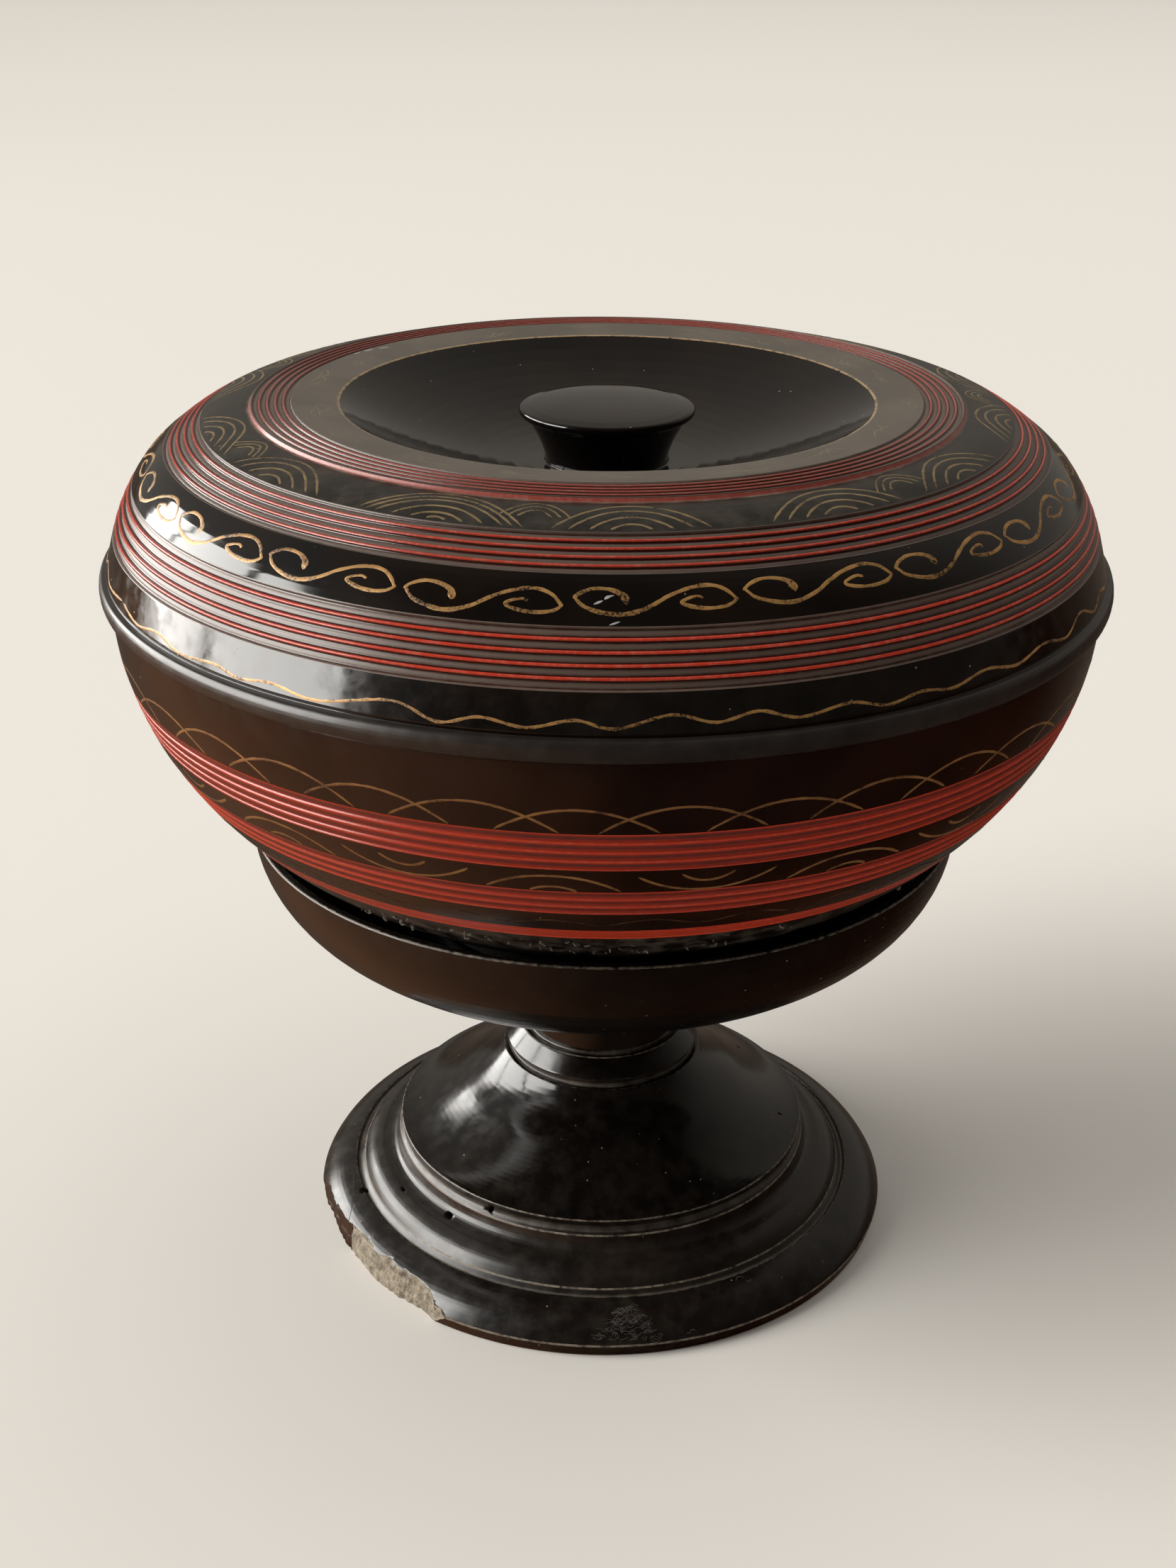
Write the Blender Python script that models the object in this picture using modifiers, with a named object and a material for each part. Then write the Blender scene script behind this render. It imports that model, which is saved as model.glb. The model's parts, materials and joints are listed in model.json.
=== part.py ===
"""A round lacquered wooden box: a domed lid on a round-bottomed bowl, resting in a pedestal stand.

Every piece is turned on one vertical axis. Sizes are in metres, +Z is up, and the origin is on the
table at the middle of the foot. A pair of numbers is (inward, upward), measured from the point
before it on the outline, unless its comment says otherwise.
"""

import math

import bpy
from mathutils import Matrix, Vector

SIDES = 36
GAP = 0.0003
MERGE = 0.00001

# How many straight runs stand for each curve of an outline, and where along it they meet
DISH_INSIDE_RUNS = 4
DISH_OUTSIDE_RUNS = 6
STEM_COVE_RUNS = 3
CONE_RUNS = 4
KNOB_NECK_RUNS = 3
KNOB_CROWN_RUNS = 2
WELL_SHARES = (0.33, 0.62, 0.84)
BOWL_INSIDE_SHARES = (1.0, 0.83, 0.64, 0.42, 0.2, 0.0)
BOWL_OUTSIDE_SHARES = (0.3, 0.6, 0.85, 1.0)

# Bowl, whose radius and height lead the dish below it and the lid above it
BOWL_RADIUS = 0.1176
BOWL_HEIGHT = 0.0883
BOWL_WALL = 0.0050
BOWL_FLOOR = 0.0065
BOWL_FOOT_RADIUS = 0.0460
BOWL_FOOT_HEIGHT = 0.0082
BOWL_FOOT_WIDTH = 0.0060
BOWL_RECESS_DEPTH = 0.0030
UPPER_BAND_DROP = 0.0164
UPPER_BAND_WIDTH = 0.0096
UPPER_BAND_GROOVES = 4
BAND_SPACE = 0.0065
LOWER_BAND_WIDTH = 0.0075
LOWER_BAND_GROOVES = 3
BOWL_GROOVE_DEPTH = 0.0004

# The ring that stands on the bowl's rim and holds the lid in place
RING_HEIGHT = 0.0055
RING_THICKNESS = 0.0032
LID_CLEARANCE = 0.0006

# Lid, from its lower edge up and inward to the well
LID_OVERHANG = 0.0010
LIP_BULGE = 0.0014
LIP_HEIGHT = 0.0049
COVE_STEP = (0.0004, 0.0008)
WAVE_STEP = (0.0022, 0.0080)
BAND_C_STEP = (0.0053, 0.0114)
SCROLL_STEP = (0.0075, 0.0079)
BAND_B_STEP = (0.0088, 0.0056)
FAN_STEP = (0.0112, 0.0025)
RISER_STEP = (0.0006, 0.0010)
BAND_A_STEP = (0.0093, 0.0003)
FLAT_STEP = (0.0107, -0.0008)
LID_BAND_GROOVES = 5
LID_GROOVE_DEPTH = 0.0007
BAND_C_BOW = 0.0005
SCROLL_BOW = 0.0005
BAND_B_BOW = 0.0003
FAN_BOW = 0.0006
LID_WALL = 0.0052
WELL_DEPTH = 0.0154
WELL_FLOOR = 0.0072
WELL_HOLLOW = 2.0

# Knob, turned from the lid's own block
KNOB_BASE_RADIUS = 0.0144
KNOB_NECK_HEIGHT = 0.0115
KNOB_FLARE = 1.6
KNOB_RADIUS = 0.0207
KNOB_EDGE = 0.0017
KNOB_EDGE_ROUND = 0.0006
KNOB_DOME = 0.0011
KNOB_CROWN = 0.5

# Stand dish, with its stem, collar and spigot
DISH_PLAY = 0.0032
DISH_RIM = 0.0022
DISH_DEPTH = 0.0335
DISH_FLOOR = 0.0065
SEAT_PLAY = 0.0010
STEM_RADIUS = 0.0196
STEM_HEIGHT = 0.0309
STEM_COVE = 0.0130
COLLAR_LEDGE = 0.0019
COLLAR_SPREAD = 0.0038
COLLAR_HEIGHT = 0.0046
SPIGOT_SHOULDER = 0.0066
SPIGOT_LENGTH = 0.0140

# Foot, from its neck down and outward to the table
NECK_INSET = 0.0010
NECK_HEIGHT = 0.0019
CONE_LEDGE = 0.0017
CONE_HEIGHT = 0.0206
CONE_HOLLOW = 1.35
CONE_DROP = 0.0041
TORUS_WIDTH = 0.0097
TORUS_HEIGHT = 0.0088
GROOVE_WIDTH = 0.0024
GROOVE_DEPTH = 0.0013
FLANGE_WIDTH = 0.0095
FLANGE_HEIGHT = 0.0076
FLANGE_CROWN = 0.0015
TORUS_LIFT = 0.0005
FOOT_RADIUS = 0.0762
FOOT_EDGE = 0.0034
FOOT_UNDERCUT = 0.0010
FOOT_RING_WIDTH = 0.0152
RECESS_DEPTH = 0.0030

# Breaks in the foot's left front rim: name, degrees round from +X, and degrees off upright
CHIP_REACH = 0.0030
CHIPS = (("chip_worn", 207.0, 3.4), ("chip_split", 229.0, -5.7))

BLACK = (0.012, 0.010, 0.009, 1.0)
BROWN_BLACK = (0.022, 0.012, 0.008, 1.0)
LACQUER_ROUGHNESS = 0.22
STAND_ROUGHNESS = 0.34

# Heights and radii that one piece hands to the next
FLANGE_TOP = FOOT_EDGE + FLANGE_HEIGHT
TORUS_BASE = FLANGE_TOP + TORUS_LIFT
TORUS_TOP = TORUS_BASE + TORUS_HEIGHT
CONE_BASE = TORUS_TOP + CONE_DROP
CONE_TOP = CONE_BASE + CONE_HEIGHT
NECK_TOP = CONE_TOP + NECK_HEIGHT
DISH_BASE = NECK_TOP + GAP
COLLAR_TOP = DISH_BASE + COLLAR_HEIGHT
DISH_UNDERSIDE = COLLAR_TOP + STEM_HEIGHT
DISH_TOP = DISH_UNDERSIDE + DISH_DEPTH
DISH_FLOOR_TOP = DISH_UNDERSIDE + DISH_FLOOR
BOWL_BASE = DISH_FLOOR_TOP + GAP
BOWL_SHOULDER = BOWL_BASE + BOWL_HEIGHT
BOWL_CURVE = (BOWL_HEIGHT - BOWL_FOOT_HEIGHT) / math.sqrt(1.0 - (BOWL_FOOT_RADIUS / BOWL_RADIUS) ** 2)
LID_BASE = BOWL_SHOULDER + GAP
LID_EDGE_RADIUS = BOWL_RADIUS + LID_OVERHANG
SEAT_RADIUS = LID_EDGE_RADIUS - LID_WALL
COLLAR_RADIUS = STEM_RADIUS + COLLAR_LEDGE + COLLAR_SPREAD
SPIGOT_RADIUS = STEM_RADIUS - SPIGOT_SHOULDER


def stepped(point, step):
    """The (radius, height) point reached by going inward and upward from another."""
    return (point[0] - step[0], point[1] + step[1])


def quarter(centre, across, down, steps):
    """Points on a quarter ellipse from its widest point down to its lowest."""
    turns = [math.pi / 2 * step / steps for step in range(steps + 1)]
    return [(centre[0] + across * math.cos(turn), centre[1] - down * math.sin(turn)) for turn in turns]


def hollowed(first, last, steps, power):
    """Points between two others, the height following a power of the way along."""
    found = []
    for step in range(1, steps):
        share = step / steps
        height = last[1] + (first[1] - last[1]) * (1.0 - share) ** power
        found.append((first[0] + (last[0] - first[0]) * share, height))
    return found


def bowed(first, last, share, bow):
    """The point at a share of the way down the outside, pushed out by a shallow arc."""
    run = Vector(last) - Vector(first)
    outward = Vector((-run.y, run.x)).normalized()
    return Vector(first) + run * share + outward * bow * (1.0 - (2.0 * share - 1.0) ** 2)


def reeded(first, last, grooves, depth, bow):
    """A band of turned grooves down the outside from one point to another, both included."""
    run = Vector(last) - Vector(first)
    inward = Vector((run.y, -run.x)).normalized() * depth
    found = [tuple(first)]
    for groove in range(grooves):
        low = bowed(first, last, (groove + 0.5) / grooves, bow) + inward
        high = bowed(first, last, (groove + 1.0) / grooves, bow)
        found.extend([tuple(low), tuple(high)])
    return found


def lined(points, wall):
    """The line a wall's thickness inside a row of points that run up the outside, without its ends."""
    found = []
    for before, point, after in zip(points[:-2], points[1:-1], points[2:]):
        run = Vector(after) - Vector(before)
        inward = Vector((-run.y, run.x)).normalized() * wall
        found.append((point[0] + inward.x, point[1] + inward.y))
    return found


def lacquer(name, colour, roughness):
    """A lacquer material with a plain Principled BSDF."""
    material = bpy.data.materials.new(name)
    material.use_nodes = True
    shader = material.node_tree.nodes["Principled BSDF"]
    shader.inputs["Base Color"].default_value = colour
    shader.inputs["Roughness"].default_value = roughness
    shader.inputs["Metallic"].default_value = 0.0
    material.diffuse_color = colour
    return material


def turned(name, outline, material, collection):
    """A solid of revolution from (radius, height) points that run down the outside."""
    mesh = bpy.data.meshes.new(name)
    corners = [(radius, 0.0, height) for radius, height in outline]
    mesh.from_pydata(corners, [(i, i + 1) for i in range(len(corners) - 1)], [])
    piece = bpy.data.objects.new(name, mesh)
    collection.objects.link(piece)
    screw = piece.modifiers.new("Turning", "SCREW")
    screw.axis = "Z"
    screw.angle = math.tau
    screw.steps = SIDES
    screw.render_steps = SIDES
    screw.use_merge_vertices = True
    screw.merge_threshold = MERGE
    screw.use_smooth_shade = True
    mesh.materials.append(material)
    return piece


def foot_outline():
    """The foot, from its socket up to the neck, down the cone and mouldings, and back under."""
    socket_floor = DISH_BASE - SPIGOT_LENGTH - GAP
    socket_radius = SPIGOT_RADIUS + GAP
    neck = COLLAR_RADIUS - NECK_INSET
    outline = [(0.0, socket_floor), (socket_radius, socket_floor), (socket_radius, NECK_TOP)]
    outline += [(neck, NECK_TOP), (neck, CONE_TOP)]
    cone_top = (neck + CONE_LEDGE, CONE_TOP)
    flange_inner = (FOOT_RADIUS - FLANGE_WIDTH, FLANGE_TOP)
    torus_base = (flange_inner[0] - GROOVE_WIDTH, TORUS_BASE)
    torus_top = (torus_base[0] - TORUS_WIDTH, TORUS_TOP)
    cone_foot = (torus_top[0], CONE_BASE)
    outline += [cone_top] + hollowed(cone_top, cone_foot, CONE_RUNS, CONE_HOLLOW) + [cone_foot]
    outline += [(torus_top[0] - GROOVE_DEPTH, TORUS_TOP + GROOVE_DEPTH), torus_top]
    middle = bowed(torus_top, torus_base, 0.5, 0.0)
    outline += [(middle.x - GROOVE_DEPTH, middle.y - GROOVE_DEPTH)]
    outline += [(middle.x + GROOVE_DEPTH, middle.y + GROOVE_DEPTH / 2), torus_base]
    outline += [(torus_base[0] + GROOVE_WIDTH / 2, FLANGE_TOP - GROOVE_DEPTH), flange_inner]
    edge = (FOOT_RADIUS, FOOT_EDGE)
    outline += [tuple(bowed(flange_inner, edge, 0.5, FLANGE_CROWN)), edge]
    outline += [(FOOT_RADIUS - FOOT_UNDERCUT, 0.0), (FOOT_RADIUS - FOOT_RING_WIDTH, 0.0)]
    outline += [(FOOT_RADIUS - FOOT_RING_WIDTH - RECESS_DEPTH, RECESS_DEPTH), (0.0, RECESS_DEPTH)]
    return outline


def dish_outline():
    """The stand's dish, from its floor over the rim and down the stem, collar and spigot."""
    flat = BOWL_FOOT_RADIUS + SEAT_PLAY
    inner_rim = bowl_point(BOWL_SHOULDER - DISH_TOP)[0] + DISH_PLAY
    inner = quarter((flat, DISH_TOP), inner_rim - flat, DISH_DEPTH - DISH_FLOOR, DISH_INSIDE_RUNS)
    outer = quarter((flat, DISH_TOP), inner_rim + DISH_RIM - flat, DISH_DEPTH, DISH_OUTSIDE_RUNS)
    cove = quarter((0.0, 0.0), STEM_COVE, STEM_COVE, STEM_COVE_RUNS)
    corner = (STEM_RADIUS + STEM_COVE, DISH_UNDERSIDE - STEM_COVE)
    stem = [(corner[0] - across, corner[1] - down) for across, down in reversed(cove)]
    outline = [(0.0, DISH_FLOOR_TOP)] + inner[::-1] + outer + stem
    outline += [(STEM_RADIUS, COLLAR_TOP), (STEM_RADIUS + COLLAR_LEDGE, COLLAR_TOP)]
    outline += [(COLLAR_RADIUS, DISH_BASE), (SPIGOT_RADIUS, DISH_BASE)]
    outline += [(SPIGOT_RADIUS, DISH_BASE - SPIGOT_LENGTH), (0.0, DISH_BASE - SPIGOT_LENGTH)]
    return outline


def bowl_point(drop):
    """The point on the bowl's outside at a depth below its shoulder."""
    return (BOWL_RADIUS * math.sqrt(1.0 - (drop / BOWL_CURVE) ** 2), BOWL_SHOULDER - drop)


def bowl_band(top, width, grooves):
    """A red band of grooves round the bowl, a little below its shoulder."""
    return reeded(bowl_point(top), bowl_point(top + width), grooves, BOWL_GROOVE_DEPTH, 0.0)


def bowl_outline():
    """The bowl, from its floor up the inside, over the lid's ring and down the outside."""
    ring_outer = SEAT_RADIUS - LID_CLEARANCE
    ring_inner = ring_outer - RING_THICKNESS
    recess_height = BOWL_BASE + BOWL_RECESS_DEPTH
    floor_height = recess_height + BOWL_FLOOR
    inner_curve = BOWL_CURVE - BOWL_WALL
    lowest_turn = math.asin((BOWL_SHOULDER - floor_height) / inner_curve)
    outline = [(0.0, floor_height)]
    for share in BOWL_INSIDE_SHARES:
        turn = lowest_turn * share
        outline.append((ring_inner * math.cos(turn), BOWL_SHOULDER - inner_curve * math.sin(turn)))
    ring_top = BOWL_SHOULDER + RING_HEIGHT
    outline += [(ring_inner, ring_top), (ring_outer, ring_top), (ring_outer, BOWL_SHOULDER)]
    outline += [(BOWL_RADIUS, BOWL_SHOULDER), bowl_point(UPPER_BAND_DROP / 2)]
    outline += bowl_band(UPPER_BAND_DROP, UPPER_BAND_WIDTH, UPPER_BAND_GROOVES)
    lower_drop = UPPER_BAND_DROP + UPPER_BAND_WIDTH + BAND_SPACE
    outline += bowl_band(lower_drop, LOWER_BAND_WIDTH, LOWER_BAND_GROOVES)
    bands_end = lower_drop + LOWER_BAND_WIDTH
    left_over = BOWL_HEIGHT - BOWL_FOOT_HEIGHT - bands_end
    outline += [bowl_point(bands_end + left_over * share) for share in BOWL_OUTSIDE_SHARES]
    foot_inner = BOWL_FOOT_RADIUS - BOWL_FOOT_WIDTH
    outline += [(BOWL_FOOT_RADIUS, BOWL_BASE), (foot_inner, BOWL_BASE)]
    outline += [(foot_inner, recess_height), (0.0, recess_height)]
    return outline


def knob_outline(base):
    """The knob, from the middle of its top to its foot on the floor of the well."""
    disc = base + KNOB_NECK_HEIGHT
    edge = disc + KNOB_EDGE
    crown = (0.0, edge + KNOB_DOME)
    shoulder = (KNOB_RADIUS - KNOB_EDGE_ROUND, edge)
    outline = [crown] + hollowed(crown, shoulder, KNOB_CROWN_RUNS, KNOB_CROWN) + [shoulder]
    outline += [(KNOB_RADIUS, (disc + edge) / 2)]
    under = (KNOB_RADIUS - KNOB_EDGE_ROUND, disc)
    neck_foot = (KNOB_BASE_RADIUS, base)
    neck = hollowed((disc, under[0]), (base, neck_foot[0]), KNOB_NECK_RUNS, KNOB_FLARE)
    return outline + [under] + [(radius, height) for height, radius in neck] + [neck_foot]


def lid_outline():
    """The lid, from the knob's top out to the lip, then up the inside and back to the axis."""
    edge = (LID_EDGE_RADIUS, LID_BASE)
    lip_top = (LID_EDGE_RADIUS, LID_BASE + LIP_HEIGHT)
    cove = stepped(lip_top, COVE_STEP)
    c_low = stepped(cove, WAVE_STEP)
    c_high = stepped(c_low, BAND_C_STEP)
    b_low = stepped(c_high, SCROLL_STEP)
    b_high = stepped(b_low, BAND_B_STEP)
    a_foot = stepped(b_high, FAN_STEP)
    a_low = stepped(a_foot, RISER_STEP)
    a_high = stepped(a_low, BAND_A_STEP)
    well_rim = stepped(a_high, FLAT_STEP)
    well_base = well_rim[1] - WELL_DEPTH
    well = [(r, z) for z, r in hollowed_well(well_rim, well_base)]
    outline = knob_outline(well_base) + well + [well_rim]
    outline += reeded(a_high, a_low, LID_BAND_GROOVES, LID_GROOVE_DEPTH, 0.0)
    outline += [a_foot, tuple(bowed(a_foot, b_high, 0.5, FAN_BOW))]
    outline += reeded(b_high, b_low, LID_BAND_GROOVES, LID_GROOVE_DEPTH, BAND_B_BOW)
    outline += [tuple(bowed(b_low, c_high, 0.5, SCROLL_BOW))]
    outline += reeded(c_high, c_low, LID_BAND_GROOVES, LID_GROOVE_DEPTH, BAND_C_BOW)
    outline += [cove, lip_top, (LID_EDGE_RADIUS + LIP_BULGE, LID_BASE + LIP_HEIGHT / 2), edge]
    outline += [(SEAT_RADIUS, LID_BASE), (SEAT_RADIUS, BOWL_SHOULDER + RING_HEIGHT + LID_CLEARANCE)]
    outline += lined([cove, c_low, c_high, b_low, b_high, a_foot, a_high], LID_WALL)
    outline += [(well_rim[0] + LID_WALL, well_rim[1] - LID_WALL)]
    outline += [(r, z - WELL_FLOOR) for z, r in reversed(hollowed_well(well_rim, well_base))]
    outline += [(0.0, well_base - WELL_FLOOR)]
    return outline


def hollowed_well(rim, base):
    """Points (height, radius) up the well's curved floor, from beside the knob to near the rim."""
    found = []
    for share in WELL_SHARES:
        radius = KNOB_BASE_RADIUS + (rim[0] - KNOB_BASE_RADIUS) * share
        found.append((base + WELL_DEPTH * share**WELL_HOLLOW, radius))
    return found


def cutter(name, collection, degrees, tilt):
    """A block set against the flange at an angle round it, as a split in the wood would run."""
    bpy.ops.mesh.primitive_cube_add(size=FOOT_RADIUS)
    block = bpy.context.active_object
    block.name = name
    for other in list(block.users_collection):
        other.objects.unlink(block)
    collection.objects.link(block)
    turn = Matrix.Rotation(math.radians(degrees), 4, "Z")
    out = Matrix.Translation((FOOT_RADIUS - CHIP_REACH + FOOT_RADIUS / 2, 0.0, 0.0))
    block.matrix_world = turn @ out @ Matrix.Rotation(math.radians(tilt), 4, "Y")
    block.hide_render = True
    block.display_type = "WIRE"
    return block


def chip(piece, collection):
    """Cuts the broken and worn stretch from the foot's left front rim."""
    for name, degrees, tilt in CHIPS:
        cut = piece.modifiers.new(name, "BOOLEAN")
        cut.operation = "DIFFERENCE"
        cut.solver = "EXACT"
        cut.object = cutter(name, collection, degrees, tilt)


def main():
    """Clears the scene and builds the four pieces."""
    for old in list(bpy.data.objects):
        bpy.data.objects.remove(old, do_unlink=True)
    scene = bpy.context.scene
    pieces = bpy.data.collections.new("lacquered_box")
    cutters = bpy.data.collections.new("cutters")
    scene.collection.children.link(pieces)
    scene.collection.children.link(cutters)
    gloss = lacquer("black lacquer", BLACK, LACQUER_ROUGHNESS)
    brown = lacquer("brown black lacquer", BROWN_BLACK, LACQUER_ROUGHNESS)
    worn = lacquer("worn black lacquer", BLACK, STAND_ROUGHNESS)
    foot = turned("stand_foot", foot_outline(), worn, pieces)
    turned("stand_dish", dish_outline(), worn, pieces)
    turned("bowl", bowl_outline(), brown, pieces)
    turned("lid", lid_outline(), gloss, pieces)
    chip(foot, cutters)


main()
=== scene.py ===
"""The looks of a round lacquered box on its pedestal stand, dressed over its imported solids.

Every piece is turned on the vertical axis, so each is drawn as a half section and spun. Lengths are
in metres, unless a name or docstring says millimetres. An azimuth is in degrees from the front,
growing towards the right.
"""

import json
import logging
import math
from collections.abc import Iterable, Sequence
from dataclasses import dataclass, field, replace
from enum import Enum
from functools import partial
from random import Random
from typing import Any

import bmesh
import bpy
from mathutils import Matrix, Vector, noise

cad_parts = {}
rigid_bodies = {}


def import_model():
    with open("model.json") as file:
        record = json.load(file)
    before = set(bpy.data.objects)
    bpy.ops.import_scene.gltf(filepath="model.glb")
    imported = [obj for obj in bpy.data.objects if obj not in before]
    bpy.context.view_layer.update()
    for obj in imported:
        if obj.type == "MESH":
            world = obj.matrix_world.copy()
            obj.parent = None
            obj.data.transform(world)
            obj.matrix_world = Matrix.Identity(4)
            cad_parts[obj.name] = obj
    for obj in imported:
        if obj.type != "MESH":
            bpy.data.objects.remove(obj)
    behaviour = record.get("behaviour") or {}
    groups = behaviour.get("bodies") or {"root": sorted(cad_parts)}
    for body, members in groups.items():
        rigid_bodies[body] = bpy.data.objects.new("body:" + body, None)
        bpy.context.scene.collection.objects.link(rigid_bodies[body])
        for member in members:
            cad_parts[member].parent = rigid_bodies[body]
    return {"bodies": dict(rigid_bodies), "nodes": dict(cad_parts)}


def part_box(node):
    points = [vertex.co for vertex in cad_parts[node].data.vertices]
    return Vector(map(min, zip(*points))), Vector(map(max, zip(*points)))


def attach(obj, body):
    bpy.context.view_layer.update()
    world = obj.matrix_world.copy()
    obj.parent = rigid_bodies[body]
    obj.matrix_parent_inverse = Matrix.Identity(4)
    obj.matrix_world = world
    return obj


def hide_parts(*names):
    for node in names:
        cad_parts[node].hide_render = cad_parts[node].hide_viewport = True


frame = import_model()

LOG = logging.getLogger("lacquered_box")
BODY = "root"
MM = 0.001
TURN_STEPS = 192
MERGE_DISTANCE = 1e-6
LACQUER_IOR = 1.53
SMOOTH = "SMOOTHSTEP"

# Where the mix node keeps its sockets for colours
MIX_FACTOR = 0
MIX_FIRST = 6
MIX_SECOND = 7
MIX_RESULT = 2

Point = tuple[float, float]
Place = tuple[float, float, float]
Piece = bpy.types.Object
Socket = bpy.types.NodeSocket
Tree = bpy.types.NodeTree


def linear(code: str) -> tuple[float, float, float, float]:
    """Turns an sRGB hex colour to the linear colour that a shader takes.

    Args:
        code: The colour, such as "#a8341f".

    Returns:
        Red, green, blue and a full alpha.
    """
    shares = [int(code[start : start + 2], 16) / 255.0 for start in (1, 3, 5)]
    light = [share / 12.92 if share <= 0.04045 else ((share + 0.055) / 1.055) ** 2.4 for share in shares]
    return (light[0], light[1], light[2], 1.0)


def per_metre(size: float) -> float:
    """The texture scale whose features are about this many metres across."""
    return 1.0 / size


def feed(node: bpy.types.Node, links: dict[Any, Any]) -> None:
    """Links or sets a node's inputs.

    Args:
        node: The node.
        links: For each input's name or number, the socket that feeds it, its value, or a hex colour.
    """
    for name, value in links.items():
        if isinstance(value, Socket):
            node.id_data.links.new(value, node.inputs[name])
        else:
            node.inputs[name].default_value = linear(value) if isinstance(value, str) else value


def add_node(tree: Tree, kind: str, links: dict[Any, Any], output: str | int = 0, **settings: Any) -> Socket:
    """Adds a node with its settings and links.

    Args:
        tree: The node tree that it goes in.
        kind: The node's type, without ShaderNode in front.
        links: What feeds its inputs.
        output: The name or number of the output that is wanted.
        **settings: The node's own properties.

    Returns:
        That output.
    """
    made = tree.nodes.new("ShaderNode" + kind)
    for name, value in settings.items():
        setattr(made, name, value)
    feed(made, links)
    return made.outputs[output]


def coated(tree: Tree, colour: Any, *coats: tuple[Socket, Any]) -> Socket:
    """Lays colours over one another.

    Args:
        tree: The node tree.
        colour: The ground's colour.
        *coats: For each colour, how much it covers and the colour.

    Returns:
        The colour that is seen.
    """
    for share, coat in coats:
        links = {MIX_FACTOR: share, MIX_FIRST: colour, MIX_SECOND: coat}
        colour = add_node(tree, "Mix", links, MIX_RESULT, data_type="RGBA")
    return colour


def patchy(place: Socket, size: float, detail: float, roughness: float) -> dict[str, Any]:
    """What a noise texture takes: where it lies, the size of its patches, and how broken they are."""
    return {"Vector": place, "Scale": per_metre(size), "Detail": detail, "Roughness": roughness}


def turned_rings(tree: Tree, place: Socket, spacing: float) -> Socket:
    """Adds a pattern of uneven rings round the axis, as a turning tool leaves.

    Args:
        tree: The material's tree.
        place: Object coordinates.
        spacing: About how far apart the rings are.

    Returns:
        The pattern's value, from 0 to 1.
    """
    add = partial(add_node, tree)
    flat = add("VectorMath", {0: place, 1: (1.0, 1.0, 0.0)}, operation="MULTIPLY")
    radius = add("VectorMath", {0: flat}, "Value", operation="LENGTH")
    across = add("CombineXYZ", {"X": radius, "Z": add("SeparateXYZ", {0: place}, "Z")})
    return add("TexNoise", patchy(across, spacing, 3.0, 0.6))


def around(radius: float, height: float, azimuth: float) -> Vector:
    """The point at a radius and a height, at an azimuth in degrees from the front."""
    turn = math.radians(azimuth)
    return Vector((radius * math.sin(turn), -radius * math.cos(turn), height))


def smooth_path(points: Iterable[Sequence[float]], runs: int) -> list[Vector]:
    """Draws a smooth line through some points.

    Args:
        points: The points, each with the same number of values.
        runs: How many straight runs go between one point and the next.

    Returns:
        Points along the line, the first and the last included.
    """
    knots = [Vector(point) for point in points]
    ends = [knots[0] * 2.0 - knots[1], *knots, knots[-1] * 2.0 - knots[-2]]
    line = [knots[0]]
    for before, start, stop, after in zip(ends, ends[1:], ends[2:], ends[3:]):
        for run in range(1, runs + 1):
            share = run / runs
            curve = (start * 2.0) + (stop - before) * share
            curve += (before * 2.0 - start * 5.0 + stop * 4.0 - after) * share**2
            curve += (start * 3.0 - before - stop * 3.0 + after) * share**3
            line.append(curve * 0.5)
    return line


def ellipse(centre: Point, across: float, down: float, turns: Point, steps: int) -> list[Point]:
    """Draws part of an ellipse.

    Args:
        centre: Its centre.
        across: Its half width.
        down: Its half height; above 0 it first turns downwards.
        turns: Where it starts and stops, in radians from its widest point.
        steps: How many straight runs it has.

    Returns:
        Its points, both ends included.
    """
    first, last = turns
    angles = [first + (last - first) * step / steps for step in range(steps + 1)]
    return [(centre[0] + across * math.cos(turn), centre[1] - down * math.sin(turn)) for turn in angles]


class Mask(Enum):
    """What each vertex of a turned piece tells its finish."""

    WEAR = "wear"
    DUST = "dust"
    DEPTH = "depth"


@dataclass(frozen=True)
class Finish:
    """A finish: a name, and a material that is made at its first use."""

    name: str

    def material(self) -> bpy.types.Material:
        """Gives the finish's material.

        Returns:
            The material, made if this is its first use.
        """
        made = bpy.data.materials.get(self.name)
        if made is None:
            made = bpy.data.materials.new(self.name)
            made.use_nodes = True
            feed(made.node_tree.nodes["Principled BSDF"], self.dress(made.node_tree))
        return made

    def dress(self, tree: Tree) -> dict[str, Any]:
        """Builds the finish's nodes and gives what feeds its shader; each finish has its own."""
        raise NotImplementedError


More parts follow.
